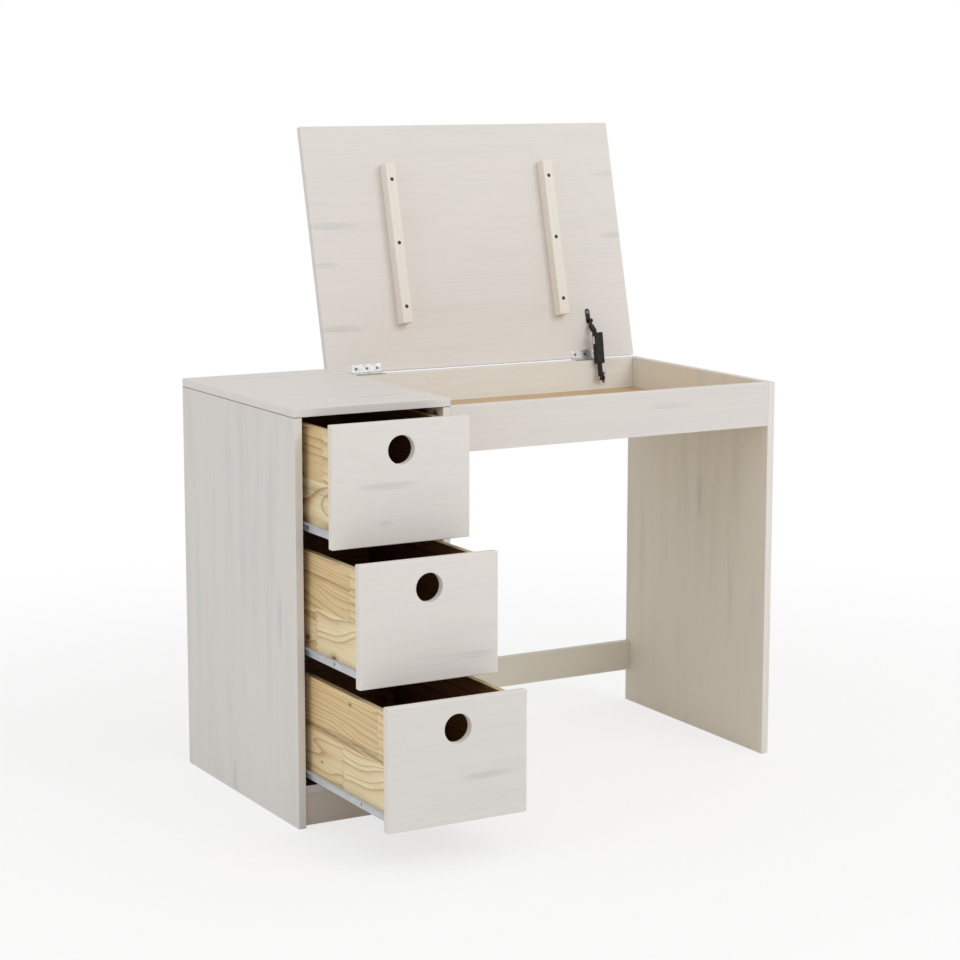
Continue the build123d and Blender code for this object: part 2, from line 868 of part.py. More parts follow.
def roller_pair(name, out_span, y, top):
    """Two rollers on one axis across the pedestal."""
    with BuildPart() as rollers:
        for side in (-1, 1):
            rods([axle_plane(out_span[0], y, top, side, 1)], roller_diameter, 0, roller_width)
        fillet(edges(), roller_arris)
        for side in (-1, 1):
            rods(
                [axle_plane(out_span[0], y, top, side, 1)],
                axle_diameter + 2 * running_fit,
                0,
                roller_width,
                Mode.SUBTRACT,
            )
    finish(rollers, name)


for side, name in ((-1, "left_cabinet_runners"), (1, "right_cabinet_runners")):
    with BuildPart() as cabinet_runners:
        for top in drawer_tops:
            cabinet_member(side, top)
    finish(cabinet_runners, name)

with BuildPart() as cabinet_runner_screws:
    for top in drawer_tops:
        screws(cabinet_screw_planes(-1, top) + cabinet_screw_planes(1, top))
finish(cabinet_runner_screws, "cabinet_runner_screws")


# Drawers
def make_drawer(name, top, pull_out):
    """One drawer: its front, its box, its runner members and its rollers."""
    front_y = y_front - pull_out
    box_y = (front_y + front_thickness, front_y + front_thickness + runner_length)
    foot = box_foot(top)
    wall_top = top - box_drop
    wall_inner = box_half - box_wall
    bottom_z = (foot + box_bottom_rise, foot + box_bottom_rise + box_bottom)
    groove_z = (bottom_z[0] - sheet_fit, bottom_z[1] + sheet_fit)
    wall_start = box_y[0] - box_groove
    back_y = (box_y[1] - box_wall, box_y[1])
    screw_planes = drawer_screw_planes(-1, top, pull_out) + drawer_screw_planes(1, top, pull_out)

    with BuildPart() as front:
        block(
            across(1, -front_width / 2, front_width / 2),
            (front_y, box_y[0]),
            (top - front_height, top),
        )
        hole = Plane(origin=(opening_centre, front_y, top - finger_hole_drop), z_dir=(0, 1, 0))
        rods([hole], finger_hole_diameter, 0, front_thickness, Mode.SUBTRACT)
        fillet(edges(), front_arris)
        for side in (-1, 1):
            block(
                across(side, wall_inner - sheet_fit, box_half + sheet_fit),
                (wall_start - sheet_fit, box_y[0]),
                (foot - sheet_fit, wall_top + sheet_fit),
                mode=Mode.SUBTRACT,
            )
        block(
            across(1, -wall_inner - box_groove, wall_inner + box_groove),
            (wall_start - sheet_fit, box_y[0]),
            groove_z,
            mode=Mode.SUBTRACT,
        )
    finish(front, f"{name}_front")

    for side, side_name in ((-1, "left_side"), (1, "right_side")):
        with BuildPart() as wall:
            block(across(side, wall_inner, box_half), (wall_start, box_y[1]), (foot, wall_top))
            fillet(edges(), box_wall_arris)
            block(
                across(side, wall_inner, wall_inner + box_groove + sheet_fit),
                (wall_start, box_y[1]),
                groove_z,
                mode=Mode.SUBTRACT,
            )
            screw_holes(screw_planes, drawer_screw_length)
        finish(wall, f"{name}_{side_name}")

    with BuildPart() as back:
        block(across(1, -wall_inner, wall_inner), back_y, (bottom_z[1], wall_top))
        fillet(edges(), box_wall_arris)
    finish(back, f"{name}_back")

    with BuildPart() as bottom:
        block(
            across(1, -wall_inner - box_groove, wall_inner + box_groove),
            (wall_start, box_y[1]),
            bottom_z,
        )
    finish(bottom, f"{name}_bottom")

    with BuildPart() as runners:
        for side in (-1, 1):
            drawer_member(side, top, pull_out)
    finish(runners, f"{name}_runners")

    with BuildPart() as runner_screws:
        screws(screw_planes, drawer_screw_length)
    finish(runner_screws, f"{name}_runner_screws")

    roller_pair(f"{name}_rear_rollers", drawer_roller_out, box_y[1] - roller_inset, top)
    front_roller_y = cabinet_member_y[0] + roller_inset
    roller_pair(f"{name}_front_rollers", cabinet_roller_out, front_roller_y, top)


for number, (top, pull_out) in enumerate(zip(drawer_tops, drawer_pull_outs), start=1):
    make_drawer(f"drawer_{number}", top, pull_out)
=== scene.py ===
"""A whitewashed writing desk with a lifting lid and three pull-out drawers.

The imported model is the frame. Its boards keep their own shapes and get finishes, and the runners,
rollers and lid stay are surfaces worked out here that stand for the plain ones.
"""

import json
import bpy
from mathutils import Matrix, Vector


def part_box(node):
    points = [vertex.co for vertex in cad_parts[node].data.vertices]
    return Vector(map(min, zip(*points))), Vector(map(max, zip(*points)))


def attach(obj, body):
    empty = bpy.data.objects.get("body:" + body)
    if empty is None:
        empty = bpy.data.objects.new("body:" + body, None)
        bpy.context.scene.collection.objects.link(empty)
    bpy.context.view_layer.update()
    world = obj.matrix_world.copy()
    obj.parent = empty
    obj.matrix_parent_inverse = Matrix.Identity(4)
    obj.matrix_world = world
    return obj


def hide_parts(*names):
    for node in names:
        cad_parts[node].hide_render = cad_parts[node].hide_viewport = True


bl_info = {
    "name": "Writing Desk",
    "version": (1, 0, 0),
    "blender": (4, 5, 0),
    "location": "View3D > Sidebar > Desk",
    "description": "Finishes and fittings of a writing desk with a lifting lid and three drawers",
    "category": "Object",
}

import bmesh
import bpy
import numpy as np
from math import cos, pi, radians, sin
from mathutils import Matrix, Vector

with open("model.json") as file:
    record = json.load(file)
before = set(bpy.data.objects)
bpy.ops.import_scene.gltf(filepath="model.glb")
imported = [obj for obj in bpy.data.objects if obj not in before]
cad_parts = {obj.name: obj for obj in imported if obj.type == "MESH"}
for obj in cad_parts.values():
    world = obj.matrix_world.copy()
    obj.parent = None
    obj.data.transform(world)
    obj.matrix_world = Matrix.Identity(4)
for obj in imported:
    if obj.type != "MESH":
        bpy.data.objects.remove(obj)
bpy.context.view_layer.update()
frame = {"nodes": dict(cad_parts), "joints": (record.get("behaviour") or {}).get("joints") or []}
LID_OPEN = radians(103.75)
LID_UP = (0.0, -cos(LID_OPEN), sin(LID_OPEN))
LID_OUT = (0.0, -sin(LID_OPEN), -cos(LID_OPEN))

# How a board lies: the directions of its grain, its width and its thickness
LIES = {
    "flat": ((1, 0, 0), (0, 1, 0), (0, 0, 1)),
    "facing": ((1, 0, 0), (0, 0, 1), (0, -1, 0)),
    "standing": ((0, 0, 1), (0, 1, 0), (-1, 0, 0)),
    "drawer side": ((0, 1, 0), (0, 0, 1), (1, 0, 0)),
    "lid": ((1, 0, 0), LID_UP, LID_OUT),
    "lid batten": (LID_UP, (-1, 0, 0), LID_OUT),
}

# Whitewashed boards: lie, place of the pith beside the board, and knots as
# (along, across, half length, half width), all in metres from the board's middle
WASHED = {
    "lid_panel": (
        "lid",
        (0.0, 0.05, 0.075),
        [
            (-0.3125, 0.046, 0.034, 0.0042),
            (-0.334, -0.031, 0.017, 0.0034),
            (-0.3165, -0.158, 0.033, 0.0042),
            (0.336, 0.137, 0.020, 0.0040),
            (0.340, 0.007, 0.019, 0.0036),
        ],
    ),
    "fixed_top": ("flat", (0.0, -0.03, -0.06), [(0.05, -0.16, 0.03, 0.004)]),
    "left_side_panel": (
        "standing",
        (0.0, -0.08, 0.09),
        [(-0.002, -0.178, 0.030, 0.006), (-0.345, 0.03, 0.022, 0.005)],
    ),
    "divider_panel": ("standing", (0.0, 0.06, -0.07), [(0.1, 0.1, 0.028, 0.005)]),
    "right_side_panel": ("standing", (0.0, -0.05, 0.08), [(0.12, -0.02, 0.026, 0.005)]),
    "bottom_shelf": ("flat", (0.0, 0.04, 0.06), []),
    "toe_kick": ("facing", (0.0, 0.02, 0.05), []),
    "front_rail": ("facing", (0.0, -0.03, -0.05), [(0.12, 0.012, 0.026, 0.0035)]),
    "back_rail": ("facing", (0.0, 0.03, -0.06), [(-0.2, -0.01, 0.022, 0.0035)]),
    "back_stretcher": ("facing", (0.0, -0.02, 0.06), [(-0.1, 0.0, 0.02, 0.003)]),
    "drawer_1_front": (
        "facing",
        (0.0, 0.07, 0.06),
        [(-0.028, -0.004, 0.034, 0.0042), (-0.031, -0.070, 0.008, 0.0040)],
    ),
    "drawer_2_front": ("facing", (0.0, -0.06, 0.07), [(0.085, -0.07, 0.024, 0.0035)]),
    "drawer_3_front": ("facing", (0.0, 0.04, -0.08), [(0.06, -0.03, 0.028, 0.0038)]),
}

# Natural pine boards: lie, place of the pith, a dark band as (across, half width, strength),
# and knots as above
PINE = {
    "drawer_1_left_side": (
        "drawer side",
        (0.0, 0.09, -0.02),
        (-0.02, 0.014, 0.45),
        [(-0.10, -0.045, 0.010, 0.004)],
    ),
    "drawer_2_left_side": (
        "drawer side",
        (0.0, -0.02, -0.03),
        (0.055, 0.006, 0.3),
        [(-0.124, -0.078, 0.011, 0.007), (-0.02, -0.06, 0.010, 0.006)],
    ),
    "drawer_3_left_side": (
        "drawer side",
        (0.0, -0.08, -0.02),
        (0.010, 0.009, 0.75),
        [(0.028, -0.051, 0.005, 0.0018), (-0.084, 0.078, 0.006, 0.003)],
    ),
}
for number in (1, 2, 3):
    PINE[f"drawer_{number}_right_side"] = (
        "drawer side",
        (0.0, -0.03 * number, 0.06),
        (0.03, 0.008, 0.4),
        [(0.02 * number, -0.03, 0.009, 0.005)],
    )
    PINE[f"drawer_{number}_back"] = (
        "facing",
        (0.0, 0.03, 0.05 + 0.01 * number),
        (-0.02, 0.006, 0.3),
        [(0.03 * number, 0.04, 0.010, 0.005)],
    )

# Faces that look into the drawers or the pedestal and get painted shade: the side of the board's
# thickness
SHADED_INNER_FACES = {"left_side_panel": -1, "divider_panel": 1, "bottom_shelf": 1}
for number in (1, 2, 3):
    SHADED_INNER_FACES[f"drawer_{number}_left_side"] = 1
    SHADED_INNER_FACES[f"drawer_{number}_right_side"] = -1
    SHADED_INNER_FACES[f"drawer_{number}_back"] = 1

# Boards whose faces are painted a little lighter, darker or warmer, as shares of its colour: painted
# light and shade for how the light falls on each
LIGHT_AND_SHADE_TINTS = {
    "left_side_panel": (0.94, 0.955, 0.955),
    "right_side_panel": (1.03, 1.01, 0.92),
    "back_stretcher": (0.93, 0.925, 0.83),
    "toe_kick": (0.93, 0.87, 0.78),
    "back_rail": (1.08, 1.12, 1.13),
    "front_rail": (0.945, 0.935, 0.94),
    "drawer_3_front": (0.945, 0.96, 0.96),
}

# Where the painted shade on the pedestal's panels fades in: distances behind their front edges, and
# heights
SHADE_FADE_BEHIND_FRONT = (0.040, 0.070)
SHELF_UNDERSIDE = 0.058
SHELF_TOP = 0.073

# Places of the batten's screw holes along it, and the radius of their counterbores, painted as dark
# discs of shadow
BATTEN_HOLES = (-0.1275, 0.0, 0.1275)
BATTEN_COUNTERBORE = 0.0041

# The stay's bores, bevels and neck, the bands round its housing, and its fork with the cover
RIVET_BORE = 0.00205
LID_PIVOT_BORE = 0.0023
NECK_EDGE = 0.001
EYE_EDGE = 0.0008
EAR_EDGE = 0.0005
NECK_START = 0.0035
BAND_SHARES = (0.14, 0.86)
BAND_WIDTH = 0.0026
BAND_PROUD = 0.00025
FORK_FOOT = 0.002
COVER_DEPTH = 0.0009
COVER_LAP = 0.001
COVER_HALF = 0.0007

# The stretch of the arm's curve that is drawn, and the length over which it swells
ARM_SHARES = (0.06, 0.94)
ARM_TAPER = 0.006

# Radius at the tip of a screw, and the axles' heads
TIP = 0.0002
AXLE_CENTRE = 0.0003
AXLE_CROWN = 0.0028
AXLE_HEAD = 0.0035
AXLE_HEAD_HEIGHT = 0.0008

# Runner screws: places along the two members, height above their folds, and (head radius, rise,
# shank radius), with the lengths of the two kinds
RAIL_SCREW_PLACES = (0.095, 0.350)
RAIL_SCREW_RISE = 0.0075
RAIL_SCREW_LENGTH = 0.007
CHANNEL_SCREW_PLACES = (0.045, 0.225, 0.405)
CHANNEL_SCREW_RISE = 0.012
CHANNEL_SCREW_LENGTH = 0.012
SCREW = (0.0032, 0.0007, 0.0016)

# Clearance between a roller, its track and its flange, and beside it on its axle
ROLLER_GAP = 0.0003
AXLE_GAP = 0.0001

# Lamps: place and width
MAIN_LAMP = ((1.6, -3.4, 3.2), 2.4)
SIDE_LAMP = ((-4.2, -0.6, 1.9), 2.2)
LAMP_TARGET = (0.0, 0.0, 0.5)

# Small fixed colours of the wood
JOINT_SHADOW = (0.12, 0.10, 0.085, 1)
KNOT_HEART = (0.13, 0.055, 0.02, 1)
GLUE_LINE = (0.16, 0.09, 0.04, 1)
# Painted highlight along the pine boards' edges
PINE_EDGE_HIGHLIGHT = (0.86, 0.76, 0.56, 1)
# Darker ring lines in the painted shade inside the drawers
INSIDE_SHADE_LINE = (0.06, 0.03, 0.014, 1)
BATTEN_LINE = (0.76, 0.68, 0.57, 1)
# Painted highlight along the battens' edges
BATTEN_EDGE_HIGHLIGHT = (0.87, 0.84, 0.78, 1)
HOLE_SHADOW = (0.035, 0.03, 0.027, 1)
BEECH = (0.66, 0.46, 0.27, 1)
BEECH_PORE = (0.50, 0.31, 0.15, 1)

# Small fixed colours of the metal and plastic
HINGE_SCREW_TONE = (0.17, 0.17, 0.165)
BATTEN_SCREW_TONE = (0.045, 0.043, 0.04)
RUNNER_SCREW_TONE = (0.26, 0.26, 0.26)
STICKER_TONE = (0.80, 0.79, 0.76)
RAIL_PLATE_TONE = (0.74, 0.71, 0.66)

# Boards with a dark joint line at the far end of their grain
SEAMS = ("left_side_panel", "divider_panel")


def put(tree, kind, given=None, **settings):
    """Adds a node, with its attributes from settings and its sockets from values or other sockets."""
    node = tree.nodes.new(kind)
    for name, value in settings.items():
        setattr(node, name, value)
    for name, value in (given or {}).items():
        if isinstance(value, bpy.types.NodeSocket):
            tree.links.new(value, node.inputs[name])
        else:
            node.inputs[name].default_value = value
    return node


def figure(tree, operation, *values, clamp=False):
    """One step of arithmetic on values or sockets."""
    given = dict(enumerate(values))
    return put(tree, "ShaderNodeMath", given, operation=operation, use_clamp=clamp).outputs[0]


def vector(tree, operation, *values):
    """One step of vector arithmetic; its last value is the scale when the operation is SCALE."""
    given = dict(enumerate(values))
    if operation == "SCALE":
        given = {0: values[0], "Scale": values[1]}
    node = put(tree, "ShaderNodeVectorMath", given, operation=operation)
    return node.outputs["Value" if operation == "LENGTH" else "Vector"]


def spread(tree, value, low, high, start=0.0, end=1.0, smooth=False):
    """Moves a value's range low to high onto start to end, held at both."""
    given = {"Value": value, "From Min": low, "From Max": high, "To Min": start, "To Max": end}
    kind = "SMOOTHSTEP" if smooth else "LINEAR"
    return put(tree, "ShaderNodeMapRange", given, interpolation_type=kind).outputs[0]


def blend_colours(tree, amount, first, second, kind="MIX"):
    """Mixes two colours by an amount from 0 to 1."""
    given = {"Factor": amount, 6: first, 7: second}
    node = put(tree, "ShaderNodeMix", given, data_type="RGBA", blend_type=kind)
    return node.outputs[2]


def noise(tree, place, scale, detail=2.0, roughness=0.5, distortion=0.0):
    """Noise of a scale in features a metre, or on each axis of a stretched place."""
    given = {
        "Vector": place,
        "Scale": scale,
        "Detail": detail,
        "Roughness": roughness,
        "Distortion": distortion,
    }
    return put(tree, "ShaderNodeTexNoise", given)


def start_group(name, inputs, outputs):
    """A new node group with named sockets; gives it, its inputs and its outputs."""
    group = bpy.data.node_groups.new(name, "ShaderNodeTree")
    for label, kind, default in inputs:
        socket = group.interface.new_socket(label, in_out="INPUT", socket_type=f"NodeSocket{kind}")
        socket.default_value = default
    for label, kind in outputs:
        group.interface.new_socket(label, in_out="OUTPUT", socket_type=f"NodeSocket{kind}")
    given = group.nodes.new("NodeGroupInput").outputs
    result = group.nodes.new("NodeGroupOutput").inputs
    return group, given, result


def growth_rings():
    """Rings round a pith beside the board: distance from a wandering line over the spacing."""
    group, given, result = start_group(
        "Growth rings",
        [
            ("Vector", "Vector", (0, 0, 0)),
            ("Pith", "Vector", (0, 0.05, 0.05)),
            ("Wander", "Float", 0.03),
            ("Spacing", "Float", 0.006),
        ],
        [("Rings", "Float"), ("Fibre", "Float")],
    )
    slow = put(group, "ShaderNodeMapping", {"Vector": given["Vector"], "Scale": (1.2, 5.0, 5.0)})
    drift = vector(group, "SUBTRACT", noise(group, slow.outputs[0], 1.6).outputs["Color"], (0.5,) * 3)
    moved = vector(group, "SCALE", drift, given["Wander"])
    place = vector(group, "SUBTRACT", vector(group, "ADD", given["Vector"], moved), given["Pith"])
    distance = vector(group, "LENGTH", vector(group, "MULTIPLY", place, (0, 1, 1)))
    turns = figure(group, "DIVIDE", distance, given["Spacing"])
    uneven = put(group, "ShaderNodeTexNoise", {"W": turns, "Scale": 0.45}, noise_dimensions="1D")
    turns = figure(group, "ADD", turns, figure(group, "MULTIPLY", uneven.outputs[0], 1.6))
    rings = figure(group, "POWER", figure(group, "FRACT", turns), 2.2)
    fine = put(group, "ShaderNodeMapping", {"Vector": given["Vector"], "Scale": (7, 620, 620)})
    fibre = noise(group, fine.outputs[0], 1.0, detail=3.0, roughness=0.6)
    group.links.new(rings, result["Rings"])
    group.links.new(fibre.outputs[0], result["Fibre"])
    return group


def knot():
    """A long knot: a stretched round spot with a ragged edge, and a darker rim round it."""
    group, given, result = start_group(
        "Knot",
        [
            ("Vector", "Vector", (0, 0, 0)),
            ("Centre", "Vector", (0, 0, 0)),
            ("Reach", "Vector", (0.03, 0.004, 1)),
        ],
        [("Heart", "Float"), ("Halo", "Float")],
    )
    offset = vector(group, "SUBTRACT", given["Vector"], given["Centre"])
    scaled = vector(group, "DIVIDE", offset, given["Reach"])
    ragged = vector(group, "SUBTRACT", noise(group, scaled, 1.4, 3.0).outputs["Color"], (0.5,) * 3)
    scaled = vector(group, "ADD", scaled, vector(group, "SCALE", ragged, 0.9))
    reach = vector(group, "LENGTH", vector(group, "MULTIPLY", scaled, (1, 1, 0)))
    group.links.new(spread(group, reach, 1.0, 0.35, smooth=True), result["Heart"])
    group.links.new(spread(group, reach, 2.3, 0.8, smooth=True), result["Halo"])
    return group


def board_edges():
    """Nearness to a board's edges: the second smallest distance to its faces, over a width."""
    group, given, result = start_group(
        "Board edges",
        [
            ("Vector", "Vector", (0, 0, 0)),
            ("Half size", "Vector", (0.1, 0.1, 0.01)),
            ("Width", "Float", 0.004),
        ],
        [("Edge", "Float"), ("End grain", "Float")],
    )
    inward = vector(
        group, "SUBTRACT", given["Half size"], vector(group, "ABSOLUTE", given["Vector"])
    )
    parts = put(group, "ShaderNodeSeparateXYZ", {0: inward}).outputs
    low = figure(group, "MINIMUM", parts[0], parts[1])
    high = figure(group, "MAXIMUM", parts[0], parts[1])
    second = figure(group, "MAXIMUM", low, figure(group, "MINIMUM", high, parts[2]))
    rough = noise(group, given["Vector"], 70.0, 3.0)
    uneven = spread(group, rough.outputs[0], 0.3, 0.7, 0.3, 1.7)
    width = figure(group, "MULTIPLY", given["Width"], uneven)
    nearness = figure(group, "SUBTRACT", 1.0, figure(group, "DIVIDE", second, width), clamp=True)
    end = spread(group, parts[0], 0.0006, 0.0002)
    group.links.new(nearness, result["Edge"])
    group.links.new(end, result["End grain"])
    return group


def finger_joints():
    """Glued strips cut into lengths; a triangle wave across the strip makes the toothed joint."""
    group, given, result = start_group(
        "Finger joints",
        [
            ("Vector", "Vector", (0, 0, 0)),
            ("Strip", "Float", 0.055),
            ("Length", "Float", 0.31),
            ("Tooth", "Float", 0.005),
            ("Depth", "Float", 0.010),
        ],
        [("Tone", "Float"), ("Shift", "Vector"), ("Seam", "Float")],
    )
    parts = put(group, "ShaderNodeSeparateXYZ", {0: given["Vector"]}).outputs
    strip = figure(group, "DIVIDE", parts[1], given["Strip"])
    row = figure(group, "FLOOR", strip)
    start = put(group, "ShaderNodeTexWhiteNoise", {"W": row}, noise_dimensions="1D").outputs[0]
    wave = figure(group, "PINGPONG", parts[1], given["Tooth"])
    teeth = figure(group, "MULTIPLY", figure(group, "DIVIDE", wave, given["Tooth"]), given["Depth"])
    along = figure(group, "DIVIDE", figure(group, "ADD", parts[0], teeth), given["Length"])
    along = figure(group, "ADD", along, start)
    piece = figure(group, "FLOOR", along)
    pair = put(group, "ShaderNodeCombineXYZ", {0: row, 1: piece, 2: 0.5}).outputs[0]
    chance = put(group, "ShaderNodeTexWhiteNoise", {0: pair}, noise_dimensions="3D").outputs
    side = figure(group, "PINGPONG", along, 0.5)
    side = figure(group, "MULTIPLY", side, given["Length"])
    rim = figure(group, "MULTIPLY", figure(group, "PINGPONG", strip, 0.5), given["Strip"])
    seam = spread(group, side, 0.0007, 0.0001)
    glue = spread(group, rim, 0.0004, 0.0001, 0.0, 0.6)
    group.links.new(chance[0], result["Tone"])
    group.links.new(vector(group, "SCALE", chance[1], 0.5), result["Shift"])
    group.links.new(figure(group, "MAXIMUM", seam, glue), result["Seam"])
    return group


def metal_marks():
    """Fine brushing across a plate and cloudy handling marks on it."""
    group, given, result = start_group(
        "Metal marks",
        [("Vector", "Vector", (0, 0, 0)), ("Brushing", "Vector", (400, 60, 400))],
        [("Brush", "Float"), ("Cloud", "Float")],
    )
    lines = vector(group, "MULTIPLY", given["Vector"], given["Brushing"])
    brush = noise(group, lines, 1.0, 3.0, 0.6)
    cloud = noise(group, given["Vector"], 130.0, 3.0, 0.55)
    group.links.new(brush.outputs[0], result["Brush"])
    group.links.new(cloud.outputs[0], result["Cloud"])
    return group


GROUPS = {
    "rings": growth_rings,
    "knot": knot,
    "edges": board_edges,
    "joints": finger_joints,
    "marks": metal_marks,
}
MADE = {}


def effect(tree, name, **given):
    """Places one of the shared effects; spaces in socket names are written as underscores."""
    if name not in MADE:
        MADE[name] = GROUPS[name]()
    node = tree.nodes.new("ShaderNodeGroup")
    node.node_tree = MADE[name]
    for label, value in given.items():
        socket = node.inputs[label.replace("_", " ")]
        if isinstance(value, bpy.types.NodeSocket):
            tree.links.new(value, socket)
        else:
            socket.default_value = value
    return node.outputs


def new_material(name):
    """An empty material; gives it, its tree and its shader."""
    material = bpy.data.materials.new(name)
    material.use_nodes = True
    tree = material.node_tree
    tree.nodes.clear()
    shader = tree.nodes.new("ShaderNodeBsdfPrincipled")
    put(tree, "ShaderNodeOutputMaterial", {"Surface": shader.outputs[0]})
    return material, tree, shader


def object_place(tree):
    """The object's own coordinates."""
    return put(tree, "ShaderNodeTexCoord").outputs["Object"]


def board_place(tree, node, lie):
    """Coordinates from the board's middle: x along the grain, y across it, z through the board."""
    turn = Matrix(LIES[lie])
    mesh = frame["nodes"][node].data
    points = np.empty(len(mesh.vertices) * 3, np.float32)
    mesh.vertices.foreach_get("co", points)
    points = points.reshape(-1, 3) @ np.array(turn, np.float32).T
    low, high = points.min(0), points.max(0)
    middle, half = (low + high) / 2, (high - low) / 2
    given = {
        "Vector": object_place(tree),
        "Location": tuple(-float(value) for value in middle),
        "Rotation": turn.to_euler(),
    }
    return put(tree, "ShaderNodeMapping", given).outputs[0], tuple(float(value) for value in half)


def bump(tree, shader, height, distance, strength=1.0):
    """Joins a height to the shader's normal."""
    given = {"Height": height, "Distance": distance, "Strength": strength}
    tree.links.new(put(tree, "ShaderNodeBump", given).outputs[0], shader.inputs["Normal"])


def dress(names, material):
    """Gives CAD nodes a finish through their objects' slots."""
    for name in names:
        node = frame["nodes"][name]
        for place in node.material_slots:
            place.link = "OBJECT"
            place.material = material


class WoodSettings(bpy.types.PropertyGroup):
    """Colours and grain of the boards."""

    wash: bpy.props.FloatVectorProperty(
        name="Whitewash",
        description="Colour of the pale boards between the grain lines",
        default=(0.80, 0.762, 0.728),
        subtype="COLOR",
    )
    wash_line: bpy.props.FloatVectorProperty(
        name="Grain line",
        description="Colour of the pale boards along the grain lines",
        default=(0.75, 0.708, 0.665),
        subtype="COLOR",
    )
    wash_knot: bpy.props.FloatVectorProperty(
        name="Washed knot",
        description="Colour of the knots under the whitewash",
        default=(0.47, 0.48, 0.50),
        subtype="COLOR",
    )
    pine: bpy.props.FloatVectorProperty(
        name="Pine",
        description="Colour of the natural drawer boards",
        default=(0.87, 0.745, 0.475),
        subtype="COLOR",
    )
    pine_line: bpy.props.FloatVectorProperty(
        name="Pine line",
        description="Colour of the darker rings of the natural drawer boards",
        default=(0.44, 0.235, 0.075),
        subtype="COLOR",
    )
    pine_dark: bpy.props.FloatVectorProperty(
        name="Dark strip",
        description="Colour of the darker glued strips",
        default=(0.70, 0.49, 0.22),
        subtype="COLOR",
    )
    pine_band: bpy.props.FloatVectorProperty(
        name="Pine band",
        description="Colour of the dark band between two glued strips",
        default=(0.22, 0.165, 0.08),
        subtype="COLOR",
    )
    wash_stain: bpy.props.FloatVectorProperty(
        name="Wash stain",
        description="Colour of the faint long stains under the whitewash",
        default=(0.70, 0.695, 0.665),
        subtype="COLOR",
    )
    # Painted shade: a dark colour that stands for the shade inside the drawers and the pedestal, also
    # given to the pedestal's back and the drawer bottoms
    inside: bpy.props.FloatVectorProperty(
        name="Inside",
        description="Colour of the faces inside the drawers and the pedestal",
        default=(0.20, 0.082, 0.026),
        subtype="COLOR",
    )
    batten: bpy.props.FloatVectorProperty(
        name="Batten",
        description="Colour of the two battens under the lid",
        default=(0.85, 0.81, 0.74),
        subtype="COLOR",
    )
    sheet: bpy.props.FloatVectorProperty(
        name="Thin sheet",
        description="Colour of the hardboard floor, backs and drawer bottoms",
        default=(0.55, 0.395, 0.225),
        subtype="COLOR",
    )
    ring_spacing: bpy.props.FloatProperty(
        name="Ring spacing",
        description="Distance between growth rings",
        default=0.007,
        unit="LENGTH",
    )
    # Painted highlight: the paler line along a board's edges
    edge_width: bpy.props.FloatProperty(
        name="Edge highlight",
        description="Width of the paler worn line along a board's edges",
        default=0.0035,
        unit="LENGTH",
    )


class MetalSettings(bpy.types.PropertyGroup):
    """Colours of the hardware."""

    zinc: bpy.props.FloatVectorProperty(
        name="Zinc",
        description="Colour of the plated hinges, pins and connectors",
        default=(0.50, 0.505, 0.50),
        subtype="COLOR",
    )
    enamel: bpy.props.FloatVectorProperty(
        name="Runner enamel",
        description="Colour of the coated runners",
        default=(0.60, 0.63, 0.66),
        subtype="COLOR",
    )
    black: bpy.props.FloatVectorProperty(
        name="Stay black",
        description="Colour of the lid stay",
        default=(0.017, 0.014, 0.012),
        subtype="COLOR",
    )
    roller: bpy.props.FloatVectorProperty(
        name="Roller plastic",
        description="Colour of the runner rollers",
        default=(0.72, 0.71, 0.68),
        subtype="COLOR",
    )


class RunnerSettings(bpy.types.PropertyGroup):
    """Sizes of the folded runners and their rollers."""

    sheet: bpy.props.FloatProperty(
        name="Sheet",
        description="Thickness of the folded steel",
        default=0.0012,
        unit="LENGTH",
    )
    fold: bpy.props.FloatProperty(
        name="Fold",
        description="Radius of the folds at the middle of the sheet",
        default=0.0014,
        unit="LENGTH",
    )
    drawer_gap: bpy.props.FloatProperty(
        name="Side gap",
        description="Space for the runner between a drawer's side and the pedestal",
        default=0.0125,
        unit="LENGTH",
    )
    half_opening: bpy.props.FloatProperty(
        name="Half opening",
        description="Half the width between the pedestal's side panels",
        default=0.1385,
        unit="LENGTH",
    )
    foot: bpy.props.FloatProperty(
        name="Foot",
        description="Width of the fold under a drawer's side",
        default=0.012,
        unit="LENGTH",
    )
    flange: bpy.props.FloatProperty(
        name="Drawer flange",
        description="Width of the fold that runs over the cabinet's roller",
        default=0.0097,
        unit="LENGTH",
    )
    member_height: bpy.props.FloatProperty(
        name="Drawer member height",
        description="Height of the drawer's member",
        default=0.0175,
        unit="LENGTH",
    )
    track: bpy.props.FloatProperty(
        name="Track",
        description="Width of the cabinet member's track",
        default=0.0095,
        unit="LENGTH",
    )
    lip: bpy.props.FloatProperty(
        name="Lip",
        description="Width of the cabinet member's upper fold",
        default=0.005,
        unit="LENGTH",
    )
    channel_height: bpy.props.FloatProperty(
        name="Cabinet member height",
        description="Height of the cabinet's member",
        default=0.029,
        unit="LENGTH",
    )
    roller: bpy.props.FloatProperty(
        name="Roller",
        description="Diameter of the rollers",
        default=0.020,
        unit="LENGTH",
    )
    roller_width: bpy.props.FloatProperty(
        name="Roller width",
        description="Width of the rollers",
        default=0.008,
        unit="LENGTH",
    )
    roller_inset: bpy.props.FloatProperty(
        name="Roller inset",
        description="Distance from a member's end to its roller's axle",
        default=0.012,
        unit="LENGTH",
    )
    axle: bpy.props.FloatProperty(
        name="Axle",
        description="Diameter of the axles",
        default=0.004,
        unit="LENGTH",
    )


